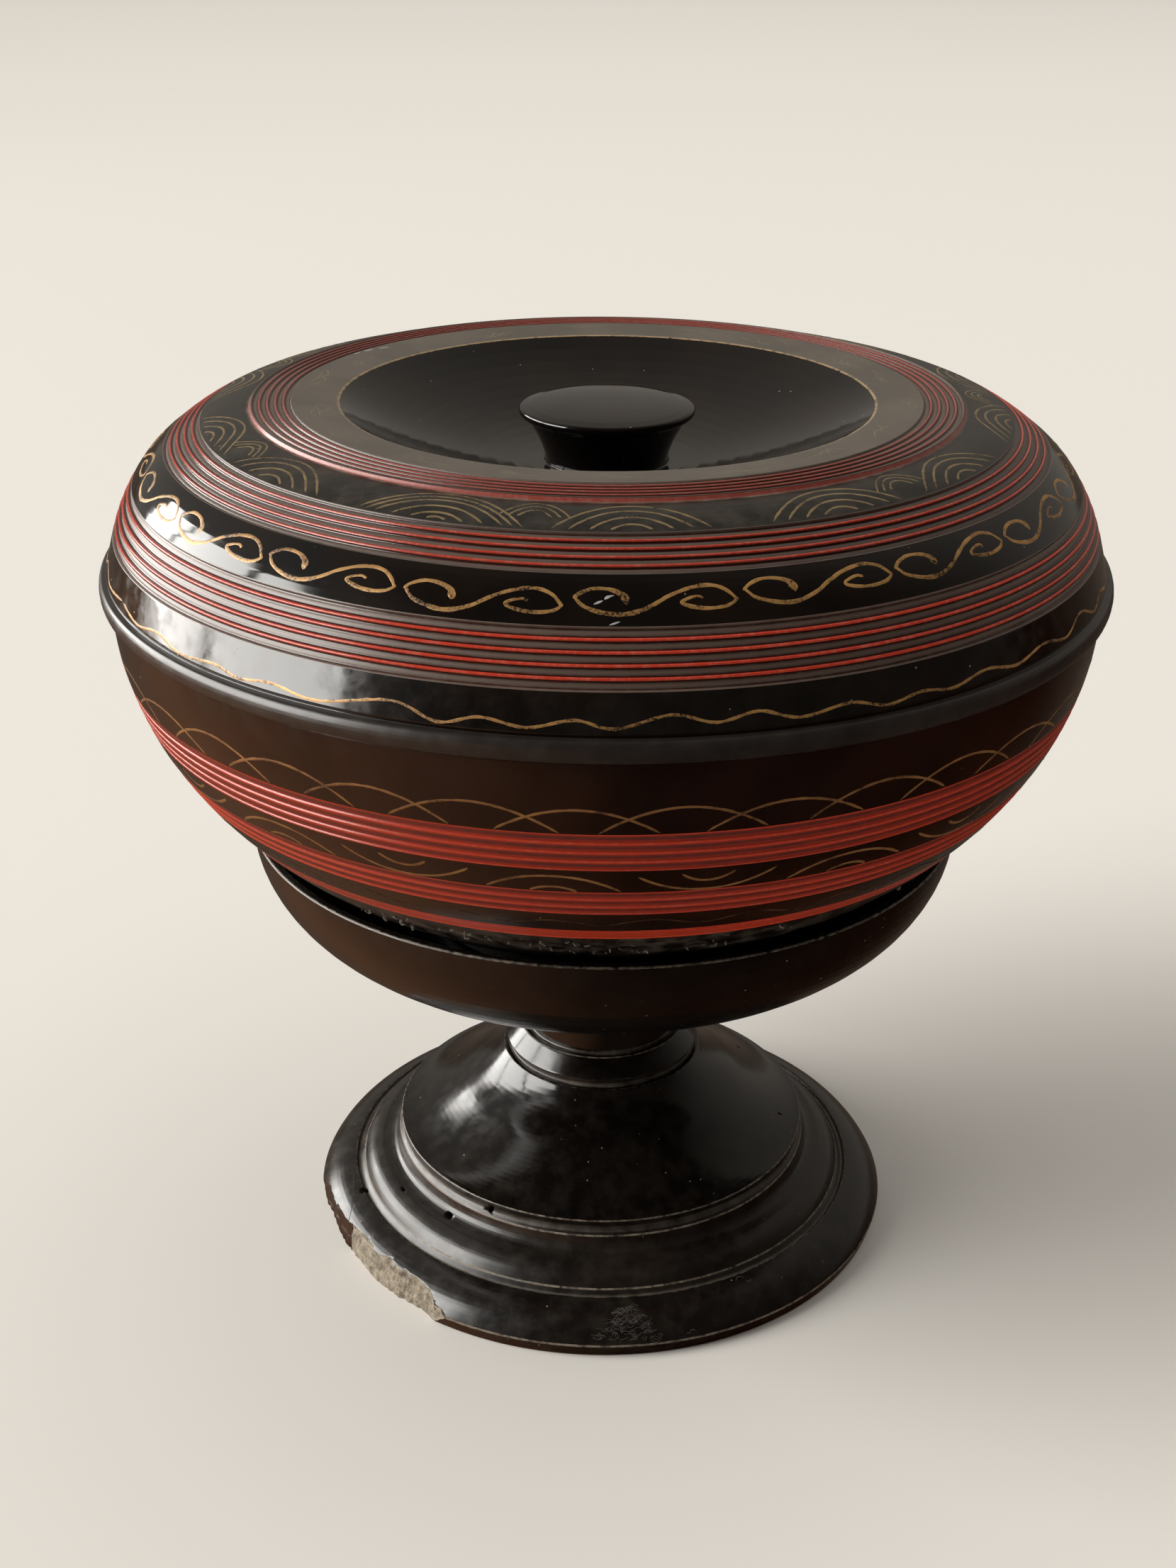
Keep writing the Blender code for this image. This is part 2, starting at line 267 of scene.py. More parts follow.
@dataclass(frozen=True)
class Urushi(Finish):
    """Urushi, tree-sap lacquer brushed over turned wood and rubbed to a gloss.

    Its dark body drifts a little in colour, its gloss is broken by rubbing marks, faint lines from the
    lathe and settled specks, rubbed edges show the ground below, and corners hold dust. The pale colour of
    the rubbed edges is also a painted highlight along each edge.
    """

    body: str = "#0d0b0a"
    drift: str = "#17100c"
    # The colour of rubbed edges: worn-through ground, and a painted highlight along each edge
    rubbed: str = "#867a6b"
    dust: str = "#8d8172"
    roughness: float = 0.1
    haze: float = 0.12
    ripple: float = 0.02 * MM
    ripple_size: float = 14.0 * MM
    chatter: float = 0.0
    specks: float = 0.5
    film: float = 0.0

    def dress(self, tree: Tree) -> dict[str, Any]:
        """Builds the lacquer's nodes.

        Args:
            tree: The material's tree.

        Returns:
            What feeds the shader.
        """
        add = partial(add_node, tree)
        place = add("TexCoord", {}, "Object")
        clouds = add("TexNoise", {"Vector": place, "Scale": per_metre(18 * MM), "Detail": 4.0})
        cloud = add("MapRange", {0: clouds, "From Min": 0.35, "From Max": 0.68}, interpolation_type=SMOOTH)

        # A thin film of dust lies in patches a few millimetres across
        patches = add("TexNoise", patchy(place, 5 * MM, 6.0, 0.62))
        film = add("MapRange", {0: patches, "From Min": 0.42, "From Max": 0.8, "To Max": self.film})

        # Rubbed edges, broken up by a grain of about a millimetre and a half; their pale colour is partly
        # worn-through ground and partly a painted highlight along each edge
        grain = add("TexNoise", {"Vector": place, "Scale": per_metre(1.5 * MM), "Detail": 3.0})
        wear = add("Attribute", {}, "Fac", attribute_name=Mask.WEAR.value)
        worn_and_glint = add("Math", {0: wear, 1: grain}, operation="MULTIPLY")
        worn_and_glint = add("MapRange", {0: worn_and_glint, "From Min": 0.22, "From Max": 0.5})

        # Dust in the corners
        corner = add("Attribute", {}, "Fac", attribute_name=Mask.DUST.value)
        settled = add("Math", {0: corner, 1: patches}, operation="MULTIPLY")
        settled = add("MapRange", {0: settled, "From Min": 0.12, "From Max": 0.55})
        settled = add("Math", {0: settled, 1: film}, operation="MAXIMUM")

        # Specks of dust, a third of a millimetre across and a few millimetres apart
        cells = add("TexVoronoi", {"Vector": place, "Scale": per_metre(4.5 * MM)}, "Distance")
        near = add("MapRange", {0: cells, "From Min": 0.03, "From Max": 0.055, "To Min": 1.0, "To Max": 0.0})
        chosen = add("SeparateColor", {0: cells.node.outputs["Color"]})
        chosen = add("Math", {0: chosen, 1: self.specks}, operation="LESS_THAN")
        speck = add("Math", {0: near, 1: chosen}, operation="MULTIPLY")
        dusty = add("Math", {0: speck, 1: settled}, operation="MAXIMUM")
        colour = coated(tree, self.body, (cloud, self.drift), (worn_and_glint, self.rubbed), (dusty, self.dust))

        # The gloss: rubbed unevenly, and dull where dust lies
        rubbing = {"To Min": self.roughness, "To Max": self.roughness + self.haze}
        hazy = add("MapRange", {0: patches, "From Min": 0.35, "From Max": 0.75, **rubbing})
        dull = add("Math", {0: dusty, 1: worn_and_glint}, operation="MAXIMUM")
        rough = add("Math", {0: dull, 1: 0.45, 2: hazy}, operation="MULTIPLY_ADD")

        # The brushed coat ripples over its ground, and the lathe leaves fine rings
        swell = add("TexNoise", {"Vector": place, "Scale": per_metre(self.ripple_size), "Detail": 2.0})
        normal = add("Bump", {"Height": swell, "Distance": self.ripple, "Strength": 1.0})
        if self.chatter:
            rings = turned_rings(tree, place, 0.9 * MM)
            over = {"Distance": self.chatter, "Strength": 1.0, "Normal": normal}
            normal = add("Bump", {"Height": rings, **over})
        return {"Base Color": colour, "Roughness": rough, "IOR": LACQUER_IOR, "Normal": normal}


@dataclass(frozen=True)
class Vermilion(Finish):
    """Urushi coloured with cinnabar, on turned reeds or on a flat band.

    The crests keep their bright red, and the dark red of the flanks under them is painted shade.
    The floors of the lid's grooves are grey-brown with old dirt and darken to painted shade at their
    edges; on the bowl the floors are a darker red, which is painted shade.
    """

    crest: str = "#bf3b27"
    # The flank's dark red is painted shade under each crest
    flank_shade: str = "#35100b"
    floor: str = "#66574e"
    pale: str = "#d98877"
    # Where the crest's red gives way to the flank's painted shade
    shade_start: float = 0.3
    # Where the flank gives way to the floor: dirt on the lid's reeds, painted shade on the bowl's
    dirt_and_shade_start: float = 0.77
    bloom: float = 0.35
    roughness: float = 0.2
    chatter: float = 0.02 * MM

    def dress(self, tree: Tree) -> dict[str, Any]:
        """Builds the red lacquer's nodes.

        Args:
            tree: The material's tree.

        Returns:
            What feeds the shader.
        """
        add = partial(add_node, tree)
        place = add("TexCoord", {}, "Object")
        depth = add("Attribute", {}, "Fac", attribute_name=Mask.DEPTH.value)
        patches = add("TexNoise", patchy(place, 4 * MM, 6.0, 0.6))
        fine = add("TexNoise", {"Vector": place, "Scale": per_metre(1.1 * MM), "Detail": 4.0})

        # Both edges of the colours wander a little along the reeds: the crest's red gives way to the flank's
        # painted shade, and that to the floor, which is dirt on the lid's reeds and painted shade on the
        # bowl's
        shifted = add("Math", {0: patches, 1: 0.3, 2: depth}, operation="MULTIPLY_ADD")
        shifted = add("Math", {0: shifted, 1: 0.15}, operation="SUBTRACT")
        below = add("MapRange", {0: shifted, "From Min": self.shade_start - 0.12, "From Max": self.shade_start + 0.12})
        dirt_and_shade = add("MapRange", {0: shifted, "From Min": self.dirt_and_shade_start - 0.15, "From Max": self.dirt_and_shade_start + 0.15})

        # A pale bloom of dust and rubbing breaks up the red
        mottled = add("Math", {0: patches, 1: fine}, operation="MULTIPLY")
        mottled = add("MapRange", {0: mottled, "From Min": 0.22, "From Max": 0.42, "To Max": self.bloom})
        colour = coated(tree, self.crest, (mottled, self.pale), (below, self.flank_shade), (dirt_and_shade, self.floor))
        rough = add("Math", {0: dirt_and_shade, 1: 0.18, 2: self.roughness}, operation="MULTIPLY_ADD", use_clamp=True)
        rings = turned_rings(tree, place, 0.6 * MM)
        grit = add("Bump", {"Height": fine, "Distance": 0.05 * MM, "Strength": 0.5})
        normal = add("Bump", {"Height": rings, "Distance": self.chatter, "Strength": 1.0, "Normal": grit})
        return {"Base Color": colour, "Roughness": rough, "IOR": LACQUER_IOR, "Normal": normal}


@dataclass(frozen=True)
class GoldPaint(Finish):
    """Gold powder strewn on wet lacquer lines and dulled by age to ochre.

    It is half metal to the eye, thin in places so that the dark ground shows through.
    """

    gold: str = "#b98d52"
    dull: str = "#7c5a33"
    ground: str = "#1d1510"
    thin: float = 0.25
    roughness: float = 0.42
    metallic: float = 0.25

    def dress(self, tree: Tree) -> dict[str, Any]:
        """Builds the gold's nodes.

        Args:
            tree: The material's tree.

        Returns:
            What feeds the shader.
        """
        add = partial(add_node, tree)
        place = add("TexCoord", {}, "Object")
        patches = add("TexNoise", patchy(place, 7 * MM, 5.0, 0.65))
        grains = add("TexNoise", {"Vector": place, "Scale": per_metre(0.5 * MM), "Detail": 2.0})
        aged = add("MapRange", {0: patches, "From Min": 0.35, "From Max": 0.7})
        gone = add("Math", {0: patches, 1: grains}, operation="MULTIPLY")
        gone = add("MapRange", {0: gone, "From Min": 0.5 - self.thin, "From Max": 0.62 - self.thin})
        colour = coated(tree, self.gold, (aged, self.dull), (gone, self.ground))
        normal = add("Bump", {"Height": grains, "Distance": 0.02 * MM, "Strength": 1.0})
        sheen = {"Metallic": self.metallic, "Roughness": self.roughness}
        return {"Base Color": colour, **sheen, "Normal": normal}


@dataclass(frozen=True)
class BareWood(Finish):
    """The turned hardwood under the lacquer, where it has split off: pale, fibrous and dull."""

    wood: str = "#b89468"
    streak: str = "#7d5a38"
    grain: float = 1.2 * MM

    def dress(self, tree: Tree) -> dict[str, Any]:
        """Builds the wood's nodes.

        Args:
            tree: The material's tree.

        Returns:
            What feeds the shader.
        """
        add = partial(add_node, tree)
        along = add("Mapping", {"Vector": add("TexCoord", {}, "Object"), "Scale": (0.15, 1.0, 1.0)})
        fibres = add("TexNoise", patchy(along, self.grain, 5.0, 0.6))
        share = add("MapRange", {0: fibres, "From Min": 0.35, "From Max": 0.7})
        normal = add("Bump", {"Height": fibres, "Distance": 0.6 * MM, "Strength": 1.0})
        colour = coated(tree, self.wood, (share, self.streak))
        return {"Base Color": colour, "Roughness": 0.85, "Normal": normal}


@dataclass(frozen=True)
class Matt(Finish):
    """A plain dull surface with a fine tooth: studio paper, dirt, scratches or the inside of a hole."""

    colour: str = "#d9d6d0"
    roughness: float = 0.9

    def dress(self, tree: Tree) -> dict[str, Any]:
        """Builds the surface's nodes.

        Args:
            tree: The material's tree.

        Returns:
            What feeds the shader.
        """
        add = partial(add_node, tree)
        place = add("TexCoord", {}, "Object")
        tooth = add("TexNoise", {"Vector": place, "Scale": per_metre(3 * MM), "Detail": 3.0})
        normal = add("Bump", {"Height": tooth, "Distance": 0.05 * MM, "Strength": 0.4})
        return {"Base Color": self.colour, "Roughness": self.roughness, "Normal": normal}


# Its rubbed edges are gold-bronze: worn-through ground, and a painted highlight along the rims
MIRROR_BLACK = Urushi("mirror_black_urushi", rubbed="#a98a5e", roughness=0.05, haze=0.07)
WAVE_BLACK = Urushi(
    "scuffed_black_urushi",
    roughness=0.06,
    haze=0.2,
    ripple=0.07 * MM,
    ripple_size=9.0 * MM,
    specks=0.8,
    film=0.03,
)
SATIN_BLACK = Urushi(
    "satin_black_urushi", body="#171411", drift="#211d18", roughness=0.3, haze=0.1, film=0.12, specks=0.3
)
RING_SATIN = replace(SATIN_BLACK, name="dusty_ring_urushi", body="#534c43", drift="#5e564c")
LIP_SATIN = Urushi("scuffed_lip_urushi", body="#221e1c", drift="#2a2522", roughness=0.28, haze=0.1, film=0.05)
BOWL_BROWN = Urushi("clear_brown_urushi", body="#190b06", drift="#251109", roughness=0.16, chatter=0.01 * MM)
BOWL_UNDER = Urushi("sooty_urushi", body="#14100d", drift="#1c1511", roughness=0.3, film=0.35, specks=0.8)
BOWL_INSIDE = Urushi("inside_red_urushi", body="#5a140c", drift="#6b1a10", roughness=0.2, specks=0.1)
STAND_BLACK = Urushi("worn_stand_urushi", body="#0c0a09", drift="#130f0c", specks=0.8, film=0.05)
STAND_SATIN = Urushi(
    "rubbed_stand_urushi", body="#15110e", drift="#1f1914", dust="#6f665b", roughness=0.26, haze=0.1, film=0.1
)
FLANGE_SATIN = replace(
    STAND_BLACK,
    name="silky_flange_urushi",
    body="#100d0b",
    drift="#171310",
    roughness=0.2,
    chatter=0.012 * MM,
    film=0.06,
)
DISH_SATIN = Urushi("dish_urushi", body="#0e0907", drift="#160f0a", roughness=0.21, haze=0.08, film=0.01)
REED_A = Vermilion("dusty_reeds", "#94453a", "#3d2019", "#64574f", "#a5827a", roughness=0.3)
REED_B = Vermilion("fine_reeds", "#b03d2d", "#33120d", "#5e5149")
REED_C = Vermilion("bright_reeds")
# On the bowl's red bands the grooves' darker reds, flank and floor alike, are painted shade
BOWL_RED = Vermilion(
    "red_band_urushi",
    *("#bb371f", "#9a2a17", "#641a0e", "#d6735c"),
    shade_start=0.45,
    dirt_and_shade_start=0.85,
    bloom=0.25,
    roughness=0.26,
)
SCROLL_GOLD = GoldPaint("ochre_gold_paint")
FAN_GOLD = GoldPaint("faded_gold_paint", gold="#8f7a57", dull="#64553f", thin=0.2)
BOWL_GOLD = GoldPaint("thin_gold_paint", gold="#9a6c3a", dull="#6b4524", thin=0.2)
FAINT_GOLD = GoldPaint("faint_gold_paint", gold="#6b4a30", dull="#40291b", thin=0.3)
WISP_GOLD = GoldPaint("rubbed_gold_paint", gold="#93866a", dull="#6b6150", ground="#534c43", thin=0.2)
SPLIT_WOOD = BareWood("split_hardwood", wood="#b3a691", streak="#5e5447", grain=1.5 * MM)
CRACK_DARK = Matt("crack_shadow", "#0b0908")
OLD_CRUMB = Matt("old_crumbs", "#6d645a")
SCUFF_GREY = Matt("scuff_grey", "#4b4642", roughness=0.6)
SCUFF_PALE = Matt("pale_scuffs", "#a9abad", roughness=0.5)
HOLE_DARK = Matt("worm_hole_dust", "#5d4733")
STUDIO_PAPER = Matt("studio_paper", "#eeebe6")


@dataclass(frozen=True)
class Station:
    """A point of a half section: where it is, how far its corner is rounded, and its masks."""

    radius: float
    height: float
    soft: float = 0.0
    wear: float = 0.0
    dust: float = 0.0
    depth: float = 0.0

    def toward(self, other: "Station", distance: float, dust: float) -> "Station":
        """Gives a plain point on the straight line to another station.

        Args:
            other: The station that the line runs to.
            distance: How far along it the point is.
            dust: The point's dust.

        Returns:
            The point, with nothing rubbed and no painted highlight.
        """
        here = Vector((self.radius, self.height))
        step = (Vector((other.radius, other.height)) - here).normalized() * distance
        return Station(here.x + step.x, here.y + step.y, dust=dust)

    def gap(self, other: "Station") -> float:
        """The distance to another station."""
        return math.dist((self.radius, self.height), (other.radius, other.height))


@dataclass(frozen=True)
class Ground:
    """A band of a turned surface, from its upper to its lower edge, bulging a little between."""

    upper: Point
    lower: Point
    bow: float = 0.0

    @property
    def width(self) -> float:
        """How wide the band is."""
        return math.dist(self.upper, self.lower)

    @property
    def radius(self) -> float:
        """The band's middle radius."""
        return (self.upper[0] + self.lower[0]) / 2.0

    def section(self, down: float, lift: float) -> Point:
        """Finds a point of the half section.

        Args:
            down: The distance from the upper edge.
            lift: The height over the surface.

        Returns:
            Its radius and height.
        """
        share = down / self.width
        run = Vector(self.lower) - Vector(self.upper)
        outward = Vector((-run.y, run.x)).normalized()
        bulge = self.bow * (1.0 - (2.0 * share - 1.0) ** 2)
        place = Vector(self.upper) + run * share + outward * (bulge + lift)
        return (place.x, place.y)

    def inner_points(self, steps: int) -> list[Point]:
        """The points of the half section that part it in equal runs, without its two edges."""
        return [self.section(self.width * step / steps, 0.0) for step in range(1, steps)]

    def place(self, azimuth: float, down: float, lift: float) -> Vector:
        """The point at an azimuth, a distance down from the upper edge and a height over the surface."""
        return around(*self.section(down, lift), azimuth)

    def degrees(self, length: float) -> float:
        """The turn that a length along the band's middle takes."""
        return math.degrees(length / self.radius)


@dataclass
class Section:
    """A half section that is drawn from point to point, each stretch with its own finish."""

    stations: list[Station] = field(default_factory=list)
    finishes: list[Finish] = field(default_factory=list)

    CORNER_RUNS = 4
    FADE = ((0.3 * MM, 0.6), (1.0 * MM, 0.3), (2.5 * MM, 0.0))

    # Half of one groove, whose floor swells a little: share of the way, of the depth, and of the colour, from
    # the crest's red through the flank's painted shade to the floor's dirt
    HALF_GROOVE = ((0.09, 0.03, 0.03), (0.15, 0.6, 0.5), (0.22, 1.0, 0.62), (0.36, 0.86, 0.9))
    GROOVE = (
        *HALF_GROOVE,
        (0.5, 0.8, 1.0),
        *tuple((1.0 - share, sunk, dirt) for share, sunk, dirt in HALF_GROOVE[::-1]),
        (1.0, 0.0, 0.0),
    )

    def start(self, point: Point) -> None:
        """Puts the first point."""
        self.stations.append(Station(*point))

    def to(
        self, point: Point, finish: Finish, soft: float = 0.0, wear: float = 0.0, dust: float = 0.0
    ) -> None:
        """Draws a straight stretch.

        Args:
            point: Where it ends, as radius and height.
            finish: What it is finished with.
            soft: How many millimetres from the corner its rounding starts.
            wear: How rubbed the corner is; its rubbed colour also paints a highlight along the corner.
            dust: How much dust the corner holds.
        """
        self.stations.append(Station(point[0], point[1], soft * MM, wear, dust))
        self.finishes.append(finish)

    def through(self, points: Iterable[Point], finish: Finish) -> None:
        """Draws a stretch through several points of a curve.

        Args:
            points: The points, as radius and height.
            finish: What they are finished with.
        """
        for point in points:
            self.to(point, finish)

    def reeds(
        self, last: Point, grooves: int, depth: float, bow: float, finish: Finish, edge: float = 0.0
    ) -> None:
        """Draws turned grooves down the outside, with narrow rounded reeds between them.

        Args:
            last: The crest where they end.
            grooves: How many there are.
            depth: How deep each is.
            bow: How far the band bulges in its middle.
            finish: What it is finished with.
            edge: How much dirt the band's two edges hold, where 0 leaves them red.
        """
        ground = Ground((self.stations[-1].radius, self.stations[-1].height), last, bow)
        self.stations[-1] = replace(self.stations[-1], depth=edge)
        for groove in range(grooves):
            for share, sunk, dirt in self.GROOVE:
                radius, height = ground.section(ground.width * (groove + share) / grooves, -depth * sunk)
                outer = (groove == 0 and share < 0.2) or (groove == grooves - 1 and share > 0.8)
                self.stations.append(Station(radius, height, depth=max(dirt, edge) if outer else dirt))
                self.finishes.append(finish)

    def turned(self, name: str) -> Piece:
        """Spins a quarter of the piece and mirrors it twice, which is far quicker than a full spin.

        Args:
            name: The piece's name.

        Returns:
            The piece, with its materials and masks.
        """
        stations, finishes = self._drawn()
        mesh = bmesh.new()
        number = mesh.verts.layers.int.new("station")
        corners = [mesh.verts.new((station.radius, 0.0, station.height)) for station in stations]
        for index, corner in enumerate(corners):
            corner[number] = index
        for first, second in zip(corners, corners[1:]):
            mesh.edges.new((first, second))
        bmesh.ops.spin(
            mesh,
            geom=mesh.verts[:] + mesh.edges[:],
            axis=(0.0, 0.0, 1.0),
            angle=math.tau / 4.0,
            steps=TURN_STEPS // 4,
            use_merge=False,
            use_duplicate=False,
        )
        for axis in ("X", "Y"):
            whole = mesh.verts[:] + mesh.edges[:] + mesh.faces[:]
            still = Matrix.Identity(4)
            bmesh.ops.mirror(mesh, geom=whole, matrix=still, merge_dist=MERGE_DISTANCE, axis=axis)
        bmesh.ops.remove_doubles(mesh, verts=mesh.verts[:], dist=MERGE_DISTANCE)
        bmesh.ops.recalc_face_normals(mesh, faces=mesh.faces[:])
        used = list(dict.fromkeys(finishes))
        for face in mesh.faces:
            face.material_index = used.index(finishes[min(corner[number] for corner in face.verts)])
            face.smooth = True
        for mask in Mask:
            layer = mesh.verts.layers.float.new(mask.value)
            for corner in mesh.verts:
                corner[layer] = getattr(stations[corner[number]], mask.value)
        return finished(name, mesh, used)

    def _drawn(self) -> tuple[list[Station], list[Finish]]:
        """Draws the soft corners and the points that hold the shading of the straight runs.

        Returns:
            The stations, and the finish of each run between them.
        """
        stations = [self.stations[0]]
        finishes = []
        last = len(self.stations) - 1
        for index in range(1, last + 1):
            here = self.stations[index]
            finish = self.finishes[index - 1]
            arc = [here]
            if here.soft and index < last:
                arc = self._arc(self.stations[index - 1], here, self.stations[index + 1])
            held = self._held(stations[-1], arc[0])
            stations += held
            finishes += [finish] * len(held)
            for step, point in enumerate(arc):
                stations.append(point)
                finishes.append(self.finishes[index] if step > self.CORNER_RUNS // 2 else finish)
        return stations, finishes

    def _arc(self, before: Station, corner: Station, after: Station) -> list[Station]:
        """Rounds a corner.

        Args:
            before: The station before it.
            corner: The corner.
            after: The station after it.

        Returns:
            The points of the rounding, both of its ends included.
        """
        reach = min(corner.soft, corner.gap(before) * 0.45, corner.gap(after) * 0.45)
        first = corner.toward(before, reach, 0.0)
        second = corner.toward(after, reach, 0.0)
        points = []
        for step in range(self.CORNER_RUNS + 1):
            share = step / self.CORNER_RUNS
            near, middle, far = (1.0 - share) ** 2, 2.0 * share * (1.0 - share), share**2
            radius = near * first.radius + middle * corner.radius + far * second.radius
            height = near * first.height + middle * corner.height + far * second.height
            worn_and_glint = corner.wear if 0 < step < self.CORNER_RUNS else 0.0
            points.append(Station(radius, height, wear=worn_and_glint, dust=corner.dust, depth=corner.depth))
        return points

    def _held(self, first: Station, second: Station) -> list[Station]:
        """Puts points near both ends of a long straight run, where dust fades and shading is held.

        Args:
            first: Where the run starts.
            second: Where it ends.

        Returns:
            The points in between, in order.
        """
        length = first.gap(second)
        fades = [(away, share) for away, share in self.FADE if away < length * 0.45]
        near = [(away, first.dust * share) for away, share in fades]
        far = [(length - away, second.dust * share) for away, share in fades[::-1]]
        return [first.toward(second, away, dust) for away, dust in near + far]


@dataclass
class Brush:
    """Lays thin raised strokes of lacquer paint, all in one piece.

    The edges of a stroke sink a little under the surface, so that it stands on it without a gap.
    """

    name: str
    finish: Finish
    thickness: float = 0.05 * MM
    sunk: float = 0.02 * MM
    seed: int = 1
    mesh: bmesh.types.BMesh = field(default_factory=bmesh.new)

    TIP = 0.35
    UNSTEADY = 0.1
    WOBBLE_SIZE = 3.0 * MM
    ARCH_RUNS = 28

    def stroke(self, ground: Ground, path: Sequence[Sequence[float]]) -> None:
        """Lays one stroke.

        Args:
            ground: The band that it lies on.
            path: Its points as azimuth, and in millimetres the distance down the band and the width.
        """
        count = len(path) - 1
        strip = bmesh.ops.create_grid(self.mesh, x_segments=count, y_segments=2, size=0.5)
        places = [Vector((math.radians(azimuth) * ground.radius, -down * MM)) for azimuth, down, _ in path]
        for corner in strip["verts"]:
            step = round((corner.co.x + 0.5) * count)
            side = round(corner.co.y * 2.0)
            ahead = places[min(step + 1, count)] - places[max(step - 1, 0)]
            left = Vector((-ahead.y, ahead.x)).normalized()
            hand = noise.noise(Vector((*places[step] / self.WOBBLE_SIZE, float(self.seed))))
            width = path[step][2] * MM * (1.0 + hand * self.UNSTEADY * 2.0)
            if step in (0, count):
                width *= self.TIP
            spot = places[step] + left * (side * width / 2.0)
            lift = -self.sunk if side or step in (0, count) else self.thickness
            corner.co = ground.place(math.degrees(spot.x / ground.radius), -spot.y, lift)

    def arch(
        self,
        ground: Ground,
        middle: float,
        foot: float,
        half: float,
        rise: float,
        width: float,
        power: float = 2.1,
    ) -> None:
        """Lays an arch, from its left foot over to its right; its lengths are in millimetres.

        Args:
            ground: The band that it lies on.
            middle: Its azimuth.
            foot: How far down the band its feet are.
            half: Half of its span, along the band.
            rise: How high it rises; below 0 it hangs.
            width: The stroke's width.
            power: How square its shoulders are.
        """
        shares = [2.0 * run / self.ARCH_RUNS - 1.0 for run in range(self.ARCH_RUNS + 1)]
        self.stroke(
            ground,
            [
                (middle + ground.degrees(half * MM * share), foot - rise * (1.0 - abs(share) ** power), width)
                for share in shares
            ],
        )

    def ride(self, slot: str) -> None:
        """Finishes the strokes as one piece and sets it on the part.

        Args:
            slot: The record's material slot.
        """
        for face in self.mesh.faces:
            face.smooth = True
        ridden(finished(self.name, self.mesh, [self.finish]), slot)


def finished(name: str, mesh: bmesh.types.BMesh, finishes: Sequence[Finish]) -> Piece:
    """Makes an object of a mesh and gives it its materials.

    Args:
        name: The piece's name.
        mesh: The mesh, which is freed.
        finishes: One finish for each material number in it.

    Returns:
        The object, in the scene.
    """
    data = bpy.data.meshes.new(name)
    mesh.to_mesh(data)
    mesh.free()
    for finish in finishes:
        data.materials.append(finish.material())
    piece = bpy.data.objects.new(name, data)
    bpy.context.scene.collection.objects.link(piece)
    return piece


def ridden(piece: Piece, slot: str, *nodes: str) -> None:
    """Sets a piece on the part, hides the solids that it replaces, and logs its faces.

    Args:
        piece: The piece.
        slot: The record's material slot; not used.
        *nodes: The solids that it replaces.
    """
    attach(piece, BODY)
    if nodes:
        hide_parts(*nodes)
    LOG.info("%s: %d faces", piece.name, len(piece.data.polygons))


